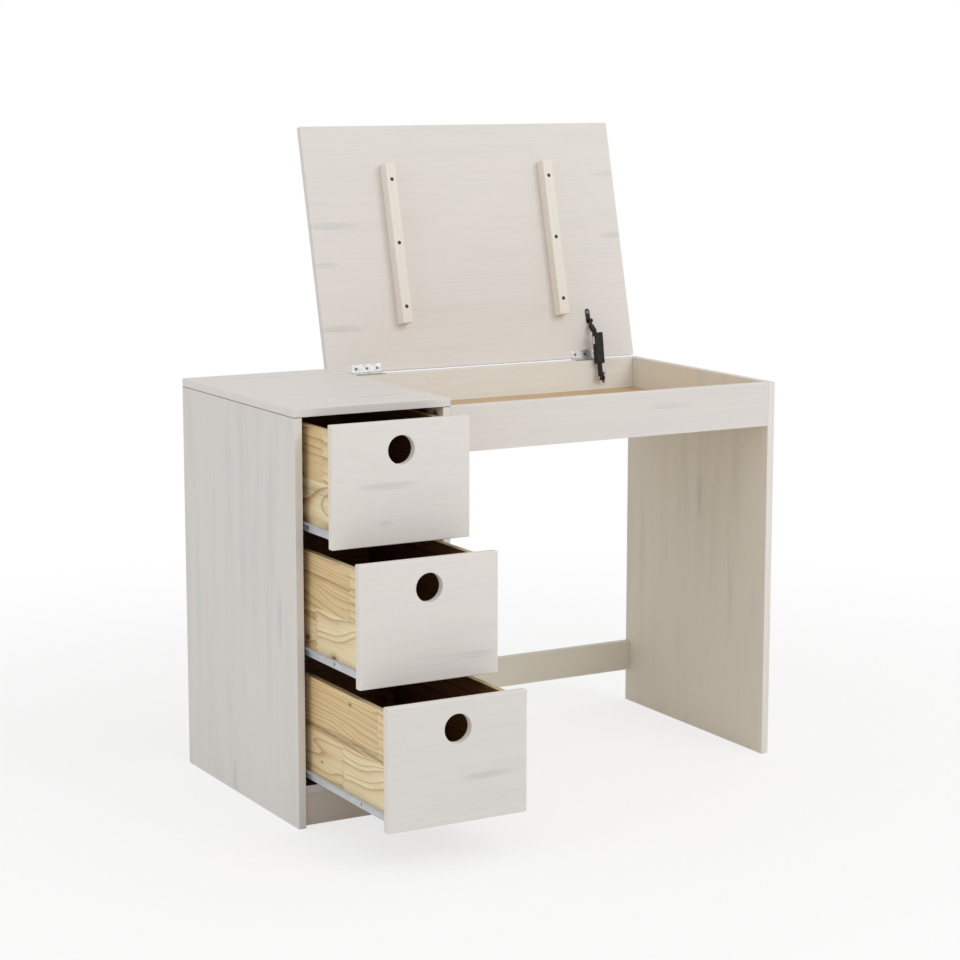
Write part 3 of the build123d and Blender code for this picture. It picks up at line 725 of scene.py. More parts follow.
class StaySettings(bpy.types.PropertyGroup):
    """Sizes of the lid stay."""

    width: bpy.props.FloatProperty(
        name="Housing width",
        description="Width of the spring housing along the hinge",
        default=0.0193,
        unit="LENGTH",
    )
    depth: bpy.props.FloatProperty(
        name="Housing depth",
        description="Depth of the spring housing",
        default=0.013,
        unit="LENGTH",
    )
    start: bpy.props.FloatProperty(
        name="Housing start",
        description="Distance of the housing from the lower pivot",
        default=0.030,
        unit="LENGTH",
    )
    past_elbow: bpy.props.FloatProperty(
        name="Past elbow",
        description="How far the housing goes past the elbow",
        default=0.0158,
        unit="LENGTH",
    )
    fork: bpy.props.FloatProperty(
        name="Fork",
        description="How far the fork reaches from the elbow towards the lower pivot",
        default=0.0142,
        unit="LENGTH",
    )
    neck_width: bpy.props.FloatProperty(
        name="Neck width",
        description="Width of the neck along the hinge",
        default=0.008,
        unit="LENGTH",
    )
    neck_depth: bpy.props.FloatProperty(
        name="Neck depth",
        description="Depth of the neck",
        default=0.0095,
        unit="LENGTH",
    )
    arm_width: bpy.props.FloatProperty(
        name="Arm width",
        description="Width of the curved arm",
        default=0.007,
        unit="LENGTH",
    )
    arm_thickness: bpy.props.FloatProperty(
        name="Arm thickness",
        description="Thickness of the curved arm along the hinge",
        default=0.005,
        unit="LENGTH",
    )
    arm_swell: bpy.props.FloatProperty(
        name="Arm bend",
        description="Length of the handles of the arm's curve",
        default=0.018,
        unit="LENGTH",
    )
    eye: bpy.props.FloatProperty(
        name="Eye",
        description="Diameter of the arm's eyes",
        default=0.009,
        unit="LENGTH",
    )
    arm_knuckle: bpy.props.FloatProperty(
        name="Arm knuckle",
        description="How far the arm swells on each side between the fork and its upper eye",
        default=0.0032,
        unit="LENGTH",
    )
    rail_plate: bpy.props.FloatProperty(
        name="Rail plate",
        description="Thickness of the stay's pale base plate on the back rail",
        default=0.0026,
        unit="LENGTH",
    )
    plate: bpy.props.FloatProperty(
        name="Lid plate",
        description="Thickness of the stay's plate on the lid",
        default=0.0009,
        unit="LENGTH",
    )
    plate_length: bpy.props.FloatProperty(
        name="Lid plate length",
        description="Length of the plate on the lid",
        default=0.031,
        unit="LENGTH",
    )
    plate_past: bpy.props.FloatProperty(
        name="Lid plate reach",
        description="How far the lid's plate goes up past the arm's upper pivot",
        default=0.026,
        unit="LENGTH",
    )
    pivot_off_lid: bpy.props.FloatProperty(
        name="Pivot off lid",
        description="Distance of the arm's upper pivot from the lid",
        default=0.006,
        unit="LENGTH",
    )
    ear: bpy.props.FloatProperty(
        name="Ear",
        description="Diameter of the ear that holds the arm's upper pivot",
        default=0.009,
        unit="LENGTH",
    )
    sticker_width: bpy.props.FloatProperty(
        name="Sticker width",
        description="Width of the blank sticker on the housing",
        default=0.0062,
        unit="LENGTH",
    )
    sticker_length: bpy.props.FloatProperty(
        name="Sticker length",
        description="Length of the blank sticker on the housing",
        default=0.0155,
        unit="LENGTH",
    )
    slot_gap: bpy.props.FloatProperty(
        name="Fork gap",
        description="Space on each side of the arm in the fork",
        default=0.0003,
        unit="LENGTH",
    )


class StageSettings(bpy.types.PropertyGroup):
    """Camera, floor and lights."""

    camera_place: bpy.props.FloatVectorProperty(
        name="Camera place",
        description="Where the camera stands",
        default=(-2.3132, -4.00838, 1.33532),
        subtype="TRANSLATION",
        unit="LENGTH",
    )
    camera_turn: bpy.props.FloatVectorProperty(
        name="Camera turn",
        description="Tilt, roll and heading of the camera",
        default=(1.4052, -0.0029, -0.5111),
        subtype="EULER",
        unit="ROTATION",
    )
    lens: bpy.props.FloatProperty(
        name="Lens",
        description="Focal length on a sensor 36 mm wide",
        default=93.30,
        unit="CAMERA",
    )
    floor_tone: bpy.props.FloatVectorProperty(
        name="Floor",
        description="Colour of the floor near the desk",
        default=(0.93, 0.93, 0.93),
        subtype="COLOR",
    )
    floor_white: bpy.props.FloatProperty(
        name="Floor whiteness",
        description="Share of plain white in the floor close to the desk",
        default=0.72,
        subtype="FACTOR",
    )
    floor_reach: bpy.props.FloatProperty(
        name="Floor reach",
        description="Half the width of the floor",
        default=30.0,
        unit="LENGTH",
    )
    sky_level: bpy.props.FloatProperty(
        name="Surrounding light",
        description="Strength of the even light from all round",
        default=0.66,
        subtype="FACTOR",
    )
    key_power: bpy.props.FloatProperty(
        name="Main lamp",
        description="Power of the large lamp above and in front",
        default=57.0,
        unit="POWER",
    )
    side_power: bpy.props.FloatProperty(
        name="Side lamp",
        description="Power of the soft lamp on the left",
        default=19.0,
        unit="POWER",
    )


class Shell:
    """Gathers grids of points as closed patches of one piece."""

    def __init__(self):
        self.points = []
        self.faces = []
        self.count = 0

    def grid(self, points, around=True, along=False, ends=True):
        """Joins rows of points by quads: around closes each row, along joins the last row to the
        first, and ends fills the first and last rows with one face each."""
        rows, columns = points.shape[:2]
        across = np.arange(columns if around else columns - 1)
        down = np.arange(rows if along else rows - 1)
        row, column = np.meshgrid(down, across, indexing="ij")
        below = (row + 1) % rows
        beside = (column + 1) % columns
        corners = (
            row * columns + column,
            row * columns + beside,
            below * columns + beside,
            below * columns + column,
        )
        quads = np.stack(corners, axis=-1).reshape(-1, 4) + self.count
        self.faces += quads.tolist()
        if ends and not along:
            first = np.arange(columns) + self.count
            self.faces += [first[::-1].tolist(), (first + (rows - 1) * columns).tolist()]
        self.points.append(points.reshape(-1, 3))
        self.count += rows * columns

    def piece(self, name, body, replaced, slot, material, crease=35):
        """Makes the mesh, turns its faces outwards and hangs the piece on its body."""
        mesh = bpy.data.meshes.new(name)
        mesh.from_pydata(np.concatenate(self.points).tolist(), [], self.faces)
        shape = bmesh.new()
        shape.from_mesh(mesh)
        bmesh.ops.recalc_face_normals(shape, faces=shape.faces[:])
        shape.to_mesh(mesh)
        shape.free()
        mesh.shade_smooth()
        mesh.set_sharp_from_angle(angle=radians(crease))
        mesh.materials.append(material)
        piece = bpy.data.objects.new(name, mesh)
        bpy.context.scene.collection.objects.link(piece)
        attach(piece, body)
        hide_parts(*replaced)
        return piece


def rounded_path(corners, radius, steps=7):
    """A path through flat corners, each replaced by an arc: the corner's two sides are left at
    equal distances from it, and the arc runs between them about a centre on the bisector."""
    corners = np.asarray(corners, float)
    path = [corners[:1]]
    for before, corner, after in zip(corners, corners[1:], corners[2:]):
        inward = (before - corner) / np.linalg.norm(before - corner)
        onward = (after - corner) / np.linalg.norm(after - corner)
        half_turn = np.arccos(np.clip(inward @ onward, -1, 1)) / 2
        middle = (inward + onward) / np.linalg.norm(inward + onward)
        centre = corner + middle * radius / np.sin(half_turn)
        first = corner + inward * radius / np.tan(half_turn) - centre
        last = corner + onward * radius / np.tan(half_turn) - centre
        share = np.linspace(0, 1, steps)[:, None]
        sweep = pi - 2 * half_turn
        arc = (np.sin((1 - share) * sweep) * first + np.sin(share * sweep) * last) / np.sin(sweep)
        path.append(centre + arc)
    path.append(corners[-1:])
    return np.concatenate(path)


def sheet_outline(path, thickness, steps=6):
    """The outline of a bent sheet: its path offset by half its thickness on each side, joined by
    half circles at its two edges."""
    ahead = np.gradient(path, axis=0)
    ahead /= np.linalg.norm(ahead, axis=1)[:, None]
    aside = np.stack([-ahead[:, 1], ahead[:, 0]], axis=1) * thickness / 2
    turn = np.linspace(0, pi, steps + 2)[1:-1, None]
    far = path[-1] + np.cos(turn) * aside[-1] + np.sin(turn) * ahead[-1] * thickness / 2
    near = path[0] - np.cos(turn) * aside[0] - np.sin(turn) * ahead[0] * thickness / 2
    return np.concatenate([path + aside, far, (path - aside)[::-1], near])


def folded_strip(shell, outline, middle, side, span):
    """An outline of distances from the drawer's middle and heights, drawn out along Y."""
    x = middle + side * outline[:, 0]
    rows = [np.stack([x, np.full_like(x, y), outline[:, 1]], axis=1) for y in span]
    shell.grid(np.stack(rows))


def turned(shell, centre, axis, profile, steps=40, ring=False):
    """A surface of revolution: each (radius, height) of the profile carried round the axis."""
    axis = np.asarray(axis, float)
    side = np.cross(axis, (0.0, 0.0, 1.0)) if abs(axis[2]) < 0.9 else np.array((1.0, 0.0, 0.0))
    side = side / np.linalg.norm(side)
    other = np.cross(axis, side)
    turn = np.linspace(0, 2 * pi, steps, endpoint=False)
    round_way = np.cos(turn)[:, None] * side + np.sin(turn)[:, None] * other
    profile = np.asarray(profile, float)
    points = (
        np.asarray(centre, float)
        + profile[:, 0, None, None] * round_way
        + profile[:, 1, None, None] * axis
    )
    shell.grid(points, along=ring, ends=not ring)


def cross_head(shell, centre, axis, radius, rise, shank, length):
    """A domed screw: height rise times (1 - (r / radius) squared), less a cross-shaped recess."""
    axis = np.asarray(axis, float)
    side = np.cross(axis, (0.0, 0.0, 1.0))
    side /= np.linalg.norm(side)
    other = np.cross(axis, side)
    out, turn = np.meshgrid(
        np.linspace(0.02, 1, 12), np.linspace(0, 2 * pi, 48, endpoint=False), indexing="ij"
    )
    flat_x, flat_y = out * np.cos(turn), out * np.sin(turn)
    height = rise * (1 - out**2)
    arm = np.maximum(np.abs(flat_x) * 5.5, np.abs(flat_y) * 1.5)
    other_arm = np.maximum(np.abs(flat_y) * 5.5, np.abs(flat_x) * 1.5)
    recess = np.clip((1 - np.minimum(arm, other_arm)) * 4, 0, 1)
    height = height - recess * rise * 0.9
    dome = (flat_x * radius)[..., None] * side + (flat_y * radius)[..., None] * other
    dome = dome + height[..., None] * axis
    circle = np.cos(turn[:1])[..., None] * side + np.sin(turn[:1])[..., None] * other
    under = [(shank, -(radius - shank)), (shank, -length + shank), (TIP, -length)]
    below = [circle * reach + axis * drop for reach, drop in under]
    shell.grid(np.asarray(centre, float) + np.concatenate([dome, *below]))


def rounded_bar(shell, start, along, across, front, length, half, radius, power=5.0, steps=44):
    """A bar of superellipse sections, |x / a| to the power plus |y / b| to the power equal to 1,
    whose sides draw in near both ends by the sagitta of a circle."""
    share = (1 - np.cos(np.linspace(0, pi, steps))) / 2
    place = share * length
    to_end = np.minimum(place, length - place)
    draw_in = radius - np.sqrt(radius**2 - np.clip(radius - to_end, 0, radius) ** 2)
    turn = np.linspace(0, 2 * pi, 40, endpoint=False)
    flat_x = np.sign(np.cos(turn)) * np.abs(np.cos(turn)) ** (2 / power)
    flat_y = np.sign(np.sin(turn)) * np.abs(np.sin(turn)) ** (2 / power)
    wide = np.outer(half[0] - draw_in, flat_x)
    deep = np.outer(half[1] - draw_in, flat_y)
    points = (
        np.asarray(start, float)
        + place[:, None, None] * np.asarray(along, float)
        + wide[..., None] * np.asarray(across, float)
        + deep[..., None] * np.asarray(front, float)
    )
    shell.grid(points)


def inner_face_shade(tree, place, half, side):
    """1 on the face of a board that looks into a drawer or the pedestal, where shade is painted; side
    is 1 or -1.
    """
    depth = put(tree, "ShaderNodeSeparateXYZ", {0: place}).outputs[2]
    return spread(tree, figure(tree, "MULTIPLY", depth, side), half[2] - 0.0006, half[2] - 0.0002)


def washed_wood(node, wood):
    """Whitewashed softwood: pale colour, faint rings and stains, grey knots, painted highlights along
    the edges, painted light and shade tints and painted shade on faces inside the pedestal.
    """
    lie, pith, knots = WASHED[node]
    material, tree, shader = new_material(f"washed_{node}")
    place, half = board_place(tree, node, lie)
    rings = effect(tree, "rings", Vector=place, Pith=pith, Wander=0.05, Spacing=wood.ring_spacing)
    cloud = noise(tree, place, 5.0, 3.0).outputs[0]
    faint = spread(tree, cloud, 0.35, 0.65, 0.15, 0.8)
    line = figure(tree, "MULTIPLY", rings["Rings"], faint)
    line = figure(tree, "MAXIMUM", line, spread(tree, rings["Fibre"], 0.35, 0.7, 0.0, 0.4))
    colour = blend_colours(tree, line, (*wood.wash, 1), (*wood.wash_line, 1))
    stretched = put(tree, "ShaderNodeMapping", {"Vector": place, "Scale": (2.2, 26.0, 26.0)})
    stain = noise(tree, stretched.outputs[0], 1.0, 4.0, 0.6).outputs[0]
    heavy = 1.0 if lie == "standing" else 0.4
    stain = spread(tree, stain, 0.46, 0.74, 0.0, heavy, smooth=True)
    colour = blend_colours(tree, stain, colour, (*wood.wash_stain, 1))
    streaky = spread(tree, rings["Fibre"], 0.34, 0.62, 0.15, 1.0)
    for along, across, length, width in knots:
        spot = effect(
            tree, "knot", Vector=place, Centre=(along, across, 0), Reach=(length, width, 1)
        )
        veil = figure(tree, "MULTIPLY", figure(tree, "MULTIPLY", spot["Halo"], streaky), 0.42)
        heart = figure(tree, "MULTIPLY", spot["Heart"], 0.5)
        amount = figure(tree, "MAXIMUM", veil, figure(tree, "MULTIPLY", heart, streaky))
        colour = blend_colours(tree, amount, colour, (*wood.wash_knot, 1))
    # Painted light and shade: the board's faces made lighter, darker or warmer
    if node in LIGHT_AND_SHADE_TINTS:
        depth = put(tree, "ShaderNodeSeparateXYZ", {0: place}).outputs[2]
        depth = figure(tree, "ABSOLUTE", depth)
        face = spread(tree, depth, half[2] - 0.0012, half[2] - 0.0002)
        colour = blend_colours(tree, face, colour, (*LIGHT_AND_SHADE_TINTS[node], 1), "MULTIPLY")
    # Painted highlight: a paler line along the board's edges; the end grain is darker
    edges = effect(tree, "edges", Vector=place, Half_size=half, Width=wood.edge_width)
    pale = tuple(min(value * 1.05, 0.86) for value in wood.wash)
    colour = blend_colours(tree, figure(tree, "MULTIPLY", edges["Edge"], 0.45), colour, (*pale, 1))
    end = figure(tree, "MULTIPLY", edges["End grain"], 0.3)
    colour = blend_colours(tree, end, colour, (*wood.wash_line, 1))
    # Painted shade on the faces inside the pedestal: dark from a little behind the front edge, and
    # only above the shelf
    if node in SHADED_INNER_FACES:
        inside = inner_face_shade(tree, place, half, SHADED_INNER_FACES[node])
        if lie == "standing":
            parts = put(tree, "ShaderNodeSeparateXYZ", {0: place}).outputs
            shade_fade_in = spread(tree, parts[1], SHADE_FADE_BEHIND_FRONT[0] - half[1], SHADE_FADE_BEHIND_FRONT[1] - half[1])
            above = spread(tree, parts[0], SHELF_UNDERSIDE - half[0], SHELF_TOP - half[0])
            inside = figure(tree, "MULTIPLY", inside, figure(tree, "MULTIPLY", shade_fade_in, above))
        colour = blend_colours(tree, inside, colour, (*wood.inside, 1))
    if node in SEAMS:
        along = put(tree, "ShaderNodeSeparateXYZ", {0: place}).outputs[0]
        gap = spread(tree, along, half[0] - 0.0016, half[0] - 0.0009, 0.0, 0.8)
        colour = blend_colours(tree, gap, colour, JOINT_SHADOW)
    tree.links.new(colour, shader.inputs["Base Color"])
    shader.inputs["Specular IOR Level"].default_value = 0.3
    tree.links.new(spread(tree, rings["Fibre"], 0.3, 0.7, 0.52, 0.66), shader.inputs["Roughness"])
    height = figure(tree, "ADD", figure(tree, "MULTIPLY", rings["Rings"], 0.35), rings["Fibre"])
    bump(tree, shader, height, 0.00012, 0.5)
    return material


def natural_pine(node, wood):
    """Oiled pine glued from strips: each length has its own tone, rings, bands and knots; painted
    highlights run along the edges and painted shade lies on the faces inside the drawer.
    """
    lie, pith, band, knots = PINE[node]
    material, tree, shader = new_material(f"pine_{node}")
    place, half = board_place(tree, node, lie)
    lengths = effect(tree, "joints", Vector=place, Strip=half[1])
    shifted = vector(tree, "ADD", place, lengths["Shift"])
    rings = effect(tree, "rings", Vector=shifted, Pith=pith, Wander=0.09, Spacing=0.0075)
    tone = spread(tree, lengths["Tone"], 0.15, 0.95, 0.0, 0.75)
    colour = blend_colours(tree, tone, (*wood.pine, 1), (*wood.pine_dark, 1))
    stretched = put(tree, "ShaderNodeMapping", {"Vector": shifted, "Scale": (3.0, 45.0, 45.0)})
    glow = noise(tree, stretched.outputs[0], 1.0, 3.0).outputs[0]
    glow = spread(tree, glow, 0.5, 0.75, 0.0, 0.7, smooth=True)
    colour = blend_colours(tree, glow, colour, (*wood.pine_dark, 1))
    crisp = figure(tree, "POWER", rings["Rings"], 1.6)
    line = figure(tree, "MULTIPLY", crisp, 0.85)
    line = figure(tree, "MAXIMUM", line, spread(tree, rings["Fibre"], 0.48, 0.8, 0.0, 0.5))
    colour = blend_colours(tree, line, colour, (*wood.pine_line, 1))
    across = put(tree, "ShaderNodeSeparateXYZ", {0: place}).outputs[1]
    wavy = noise(tree, stretched.outputs[0], 0.5, 2.0).outputs[0]
    wavy = figure(tree, "MULTIPLY", figure(tree, "SUBTRACT", wavy, 0.5), 0.012)
    offset = figure(tree, "SUBTRACT", figure(tree, "ADD", across, wavy), band[0])
    dark = spread(tree, figure(tree, "ABSOLUTE", offset), band[1], band[1] * 0.4, 0.0, band[2])
    broken = put(tree, "ShaderNodeMapping", {"Vector": place, "Scale": (16.0, 260.0, 40.0)})
    broken = noise(tree, broken.outputs[0], 1.0, 3.0, 0.6).outputs[0]
    dark = figure(tree, "MULTIPLY", dark, spread(tree, broken, 0.38, 0.6, 0.2, 1.0))
    colour = blend_colours(tree, dark, colour, (*wood.pine_band, 1))
    for along, height, length, width in knots:
        spot = effect(
            tree, "knot", Vector=place, Centre=(along, height, 0), Reach=(length, width, 1)
        )
        veil = figure(tree, "MULTIPLY", spot["Halo"], 0.45)
        colour = blend_colours(tree, veil, colour, (*wood.pine_line, 1))
        heart = figure(tree, "MULTIPLY", spot["Heart"], 0.9)
        colour = blend_colours(tree, heart, colour, KNOT_HEART)
    seam = figure(tree, "MULTIPLY", lengths["Seam"], 0.7)
    colour = blend_colours(tree, seam, colour, GLUE_LINE)
    # Painted highlight along the board's edges
    edges = effect(tree, "edges", Vector=place, Half_size=half, Width=0.002)
    highlighted = figure(tree, "MULTIPLY", edges["Edge"], 0.5)
    colour = blend_colours(tree, highlighted, colour, PINE_EDGE_HIGHLIGHT)
    # Painted shade on the faces inside the drawer, with darker ring lines in it
    inside = inner_face_shade(tree, place, half, SHADED_INNER_FACES[node])
    shade = blend_colours(tree, crisp, (*wood.inside, 1), INSIDE_SHADE_LINE)
    colour = blend_colours(tree, inside, colour, shade)
    tree.links.new(colour, shader.inputs["Base Color"])
    tree.links.new(spread(tree, rings["Fibre"], 0.3, 0.7, 0.42, 0.58), shader.inputs["Roughness"])
    bump(tree, shader, figure(tree, "ADD", rings["Rings"], rings["Fibre"]), 0.00012, 0.5)
    return material


def batten_wood(node, wood):
    """Pale planed pine with straight close grain, painted highlights along its edges and painted
    shadow in its screw holes.
    """
    material, tree, shader = new_material(f"planed_{node}")
    place, half = board_place(tree, node, "lid batten")
    rings = effect(tree, "rings", Vector=place, Pith=(0, 0.06, 0.03), Wander=0.02, Spacing=0.0032)
    line = figure(tree, "MULTIPLY", rings["Rings"], 0.5)
    line = figure(tree, "MAXIMUM", line, spread(tree, rings["Fibre"], 0.45, 0.75, 0.0, 0.4))
    colour = blend_colours(tree, line, (*wood.batten, 1), BATTEN_LINE)
    # Painted highlight along the batten's edges
    edges = effect(tree, "edges", Vector=place, Half_size=half, Width=0.0018)
    highlighted = figure(tree, "MULTIPLY", edges["Edge"], 0.4)
    colour = blend_colours(tree, highlighted, colour, BATTEN_EDGE_HIGHLIGHT)
    # Painted shadow: a dark disc round each screw hole stands for its counterbore
    for along in BATTEN_HOLES:
        spot = vector(tree, "MULTIPLY", vector(tree, "SUBTRACT", place, (along, 0, 0)), (1, 1, 0))
        away = vector(tree, "LENGTH", spot)
        hole = spread(tree, away, BATTEN_COUNTERBORE, BATTEN_COUNTERBORE - 0.0004)
        colour = blend_colours(tree, hole, colour, HOLE_SHADOW)
    tree.links.new(colour, shader.inputs["Base Color"])
    tree.links.new(spread(tree, rings["Fibre"], 0.3, 0.7, 0.5, 0.62), shader.inputs["Roughness"])
    bump(tree, shader, figure(tree, "ADD", rings["Rings"], rings["Fibre"]), 0.00012, 0.5)
    return material


def hardboard(name, tone):
    """Pressed sheet: short tangled fibres, darker flecks and a slightly polished face."""
    material, tree, shader = new_material(name)
    place = object_place(tree)
    tangle = noise(tree, place, 420.0, 4.0, 0.65, 1.5).outputs[0]
    cloud = noise(tree, place, 9.0, 3.0).outputs[0]
    pale = tuple(min(value * 1.18, 0.9) for value in tone)
    dark = tuple(value * 0.78 for value in tone)
    colour = blend_colours(tree, spread(tree, cloud, 0.3, 0.7), (*tone, 1), (*pale, 1))
    fleck = spread(tree, tangle, 0.55, 0.72, 0.0, 0.8)
    colour = blend_colours(tree, fleck, colour, (*dark, 1))
    tree.links.new(colour, shader.inputs["Base Color"])
    tree.links.new(spread(tree, tangle, 0.3, 0.7, 0.5, 0.7), shader.inputs["Roughness"])
    bump(tree, shader, tangle, 0.0001, 0.4)
    return material


def plated(name, tone, metallic=1.0, gloss=0.34, brushing=(300, 60, 300)):
    """Plated metal: a brushed lustre with soft cloudy marks."""
    material, tree, shader = new_material(name)
    marks = effect(tree, "marks", Vector=object_place(tree), Brushing=brushing)
    dull = tuple(value * 0.80 for value in tone)
    shade = spread(tree, marks["Cloud"], 0.35, 0.7, 0.0, 1.0)
    colour = blend_colours(tree, shade, (*tone, 1), (*dull, 1))
    tree.links.new(colour, shader.inputs["Base Color"])
    shader.inputs["Metallic"].default_value = metallic
    rough = figure(tree, "ADD", marks["Cloud"], figure(tree, "MULTIPLY", marks["Brush"], 0.6))
    tree.links.new(spread(tree, rough, 0.4, 1.2, gloss, gloss + 0.18), shader.inputs["Roughness"])
    bump(tree, shader, marks["Brush"], 0.00003, 0.4)
    return material


def coated(name, tone, gloss, grain, depth, shine=0.5, behind=None):
    """Paint or moulded plastic: fine orange-peel and faint changes of tone; behind is a distance
    along Y and the tone past it."""
    material, tree, shader = new_material(name)
    place = object_place(tree)
    peel = noise(tree, place, grain, 2.0).outputs[0]
    cloud = noise(tree, place, 40.0, 3.0).outputs[0]
    dull = tuple(value * 0.88 for value in tone)
    colour = blend_colours(tree, spread(tree, cloud, 0.35, 0.65), (*tone, 1), (*dull, 1))
    if behind:
        depth_way = put(tree, "ShaderNodeSeparateXYZ", {0: place}).outputs[1]
        past = spread(tree, depth_way, behind[0] - 0.0002, behind[0])
        colour = blend_colours(tree, past, colour, (*behind[1], 1))
    tree.links.new(colour, shader.inputs["Base Color"])
    shader.inputs["Specular IOR Level"].default_value = shine
    tree.links.new(spread(tree, peel, 0.3, 0.7, gloss, gloss + 0.12), shader.inputs["Roughness"])
    bump(tree, shader, peel, depth, 0.5)
    return material


class DESK_OT_boards(bpy.types.Operator):
    """Whitewash the lid, top, panels, rails, shelf and drawer fronts"""

    bl_idname = "desk.boards"
    bl_label = "Whitewashed Boards"

    def execute(self, context):
        for name in WASHED:
            dress([name], washed_wood(name, context.scene.desk_wood))
        return {"FINISHED"}


class DESK_OT_drawer_boxes(bpy.types.Operator):
    """Finish the drawer sides, backs and dowels in pine, and the thin sheets; the pedestal's back and
    the drawer bottoms are painted in the dark inside shade
    """

    bl_idname = "desk.drawer_boxes"
    bl_label = "Drawer Boxes"

    def execute(self, context):
        wood = context.scene.desk_wood
        for name in PINE:
            dress([name], natural_pine(name, wood))
        dress(["compartment_floor"], hardboard("tan_hardboard", tuple(wood.sheet)))
        # The pedestal's back and the drawer bottoms are sheets painted in the dark colour of the shade
        # inside
        shaded_sheets = ["pedestal_back"] + [f"drawer_{number}_bottom" for number in (1, 2, 3)]
        dress(shaded_sheets, hardboard("brown_hardboard", tuple(wood.inside)))
        for name in ("left_batten", "right_batten"):
            dress([name], batten_wood(name, wood))
        material, tree, shader = new_material("dowel_beech")
        place = object_place(tree)
        stretched = vector(tree, "MULTIPLY", place, (60, 900, 900))
        pores = noise(tree, stretched, 1.0, 3.0).outputs[0]
        colour = blend_colours(tree, spread(tree, pores, 0.4, 0.65), BEECH, BEECH_PORE)
        tree.links.new(colour, shader.inputs["Base Color"])
        tree.links.new(spread(tree, pores, 0.3, 0.7, 0.55, 0.7), shader.inputs["Roughness"])
        dress(["dowels"], material)
        return {"FINISHED"}


class DESK_OT_hardware(bpy.types.Operator):
    """Finish the hinges, connectors and screws"""

    bl_idname = "desk.hardware"
    bl_label = "Hinges and Screws"

    def execute(self, context):
        tone = tuple(context.scene.desk_metal.zinc)
        zinc = plated("zinc_plate", tone)
        dress(["hinge_rail_leaves", "hinge_lid_leaves", "hinge_pins"], zinc)
        dress(["cam_housings", "cam_bolts", "stay_rivets"], zinc)
        dress(["rail_screws", "lid_screws"], plated("hinge_screws", HINGE_SCREW_TONE, gloss=0.3))
        dark = plated("dark_screws", BATTEN_SCREW_TONE, metallic=0.6, gloss=0.36)
        dress(["batten_screws"], dark)
        return {"FINISHED"}


def joint_place(name):
    """Where a joint's axis lies, as an array."""
    joint = next(item for item in frame["joints"] if item["name"] == name)
    return np.array(joint["pos_m"], float)


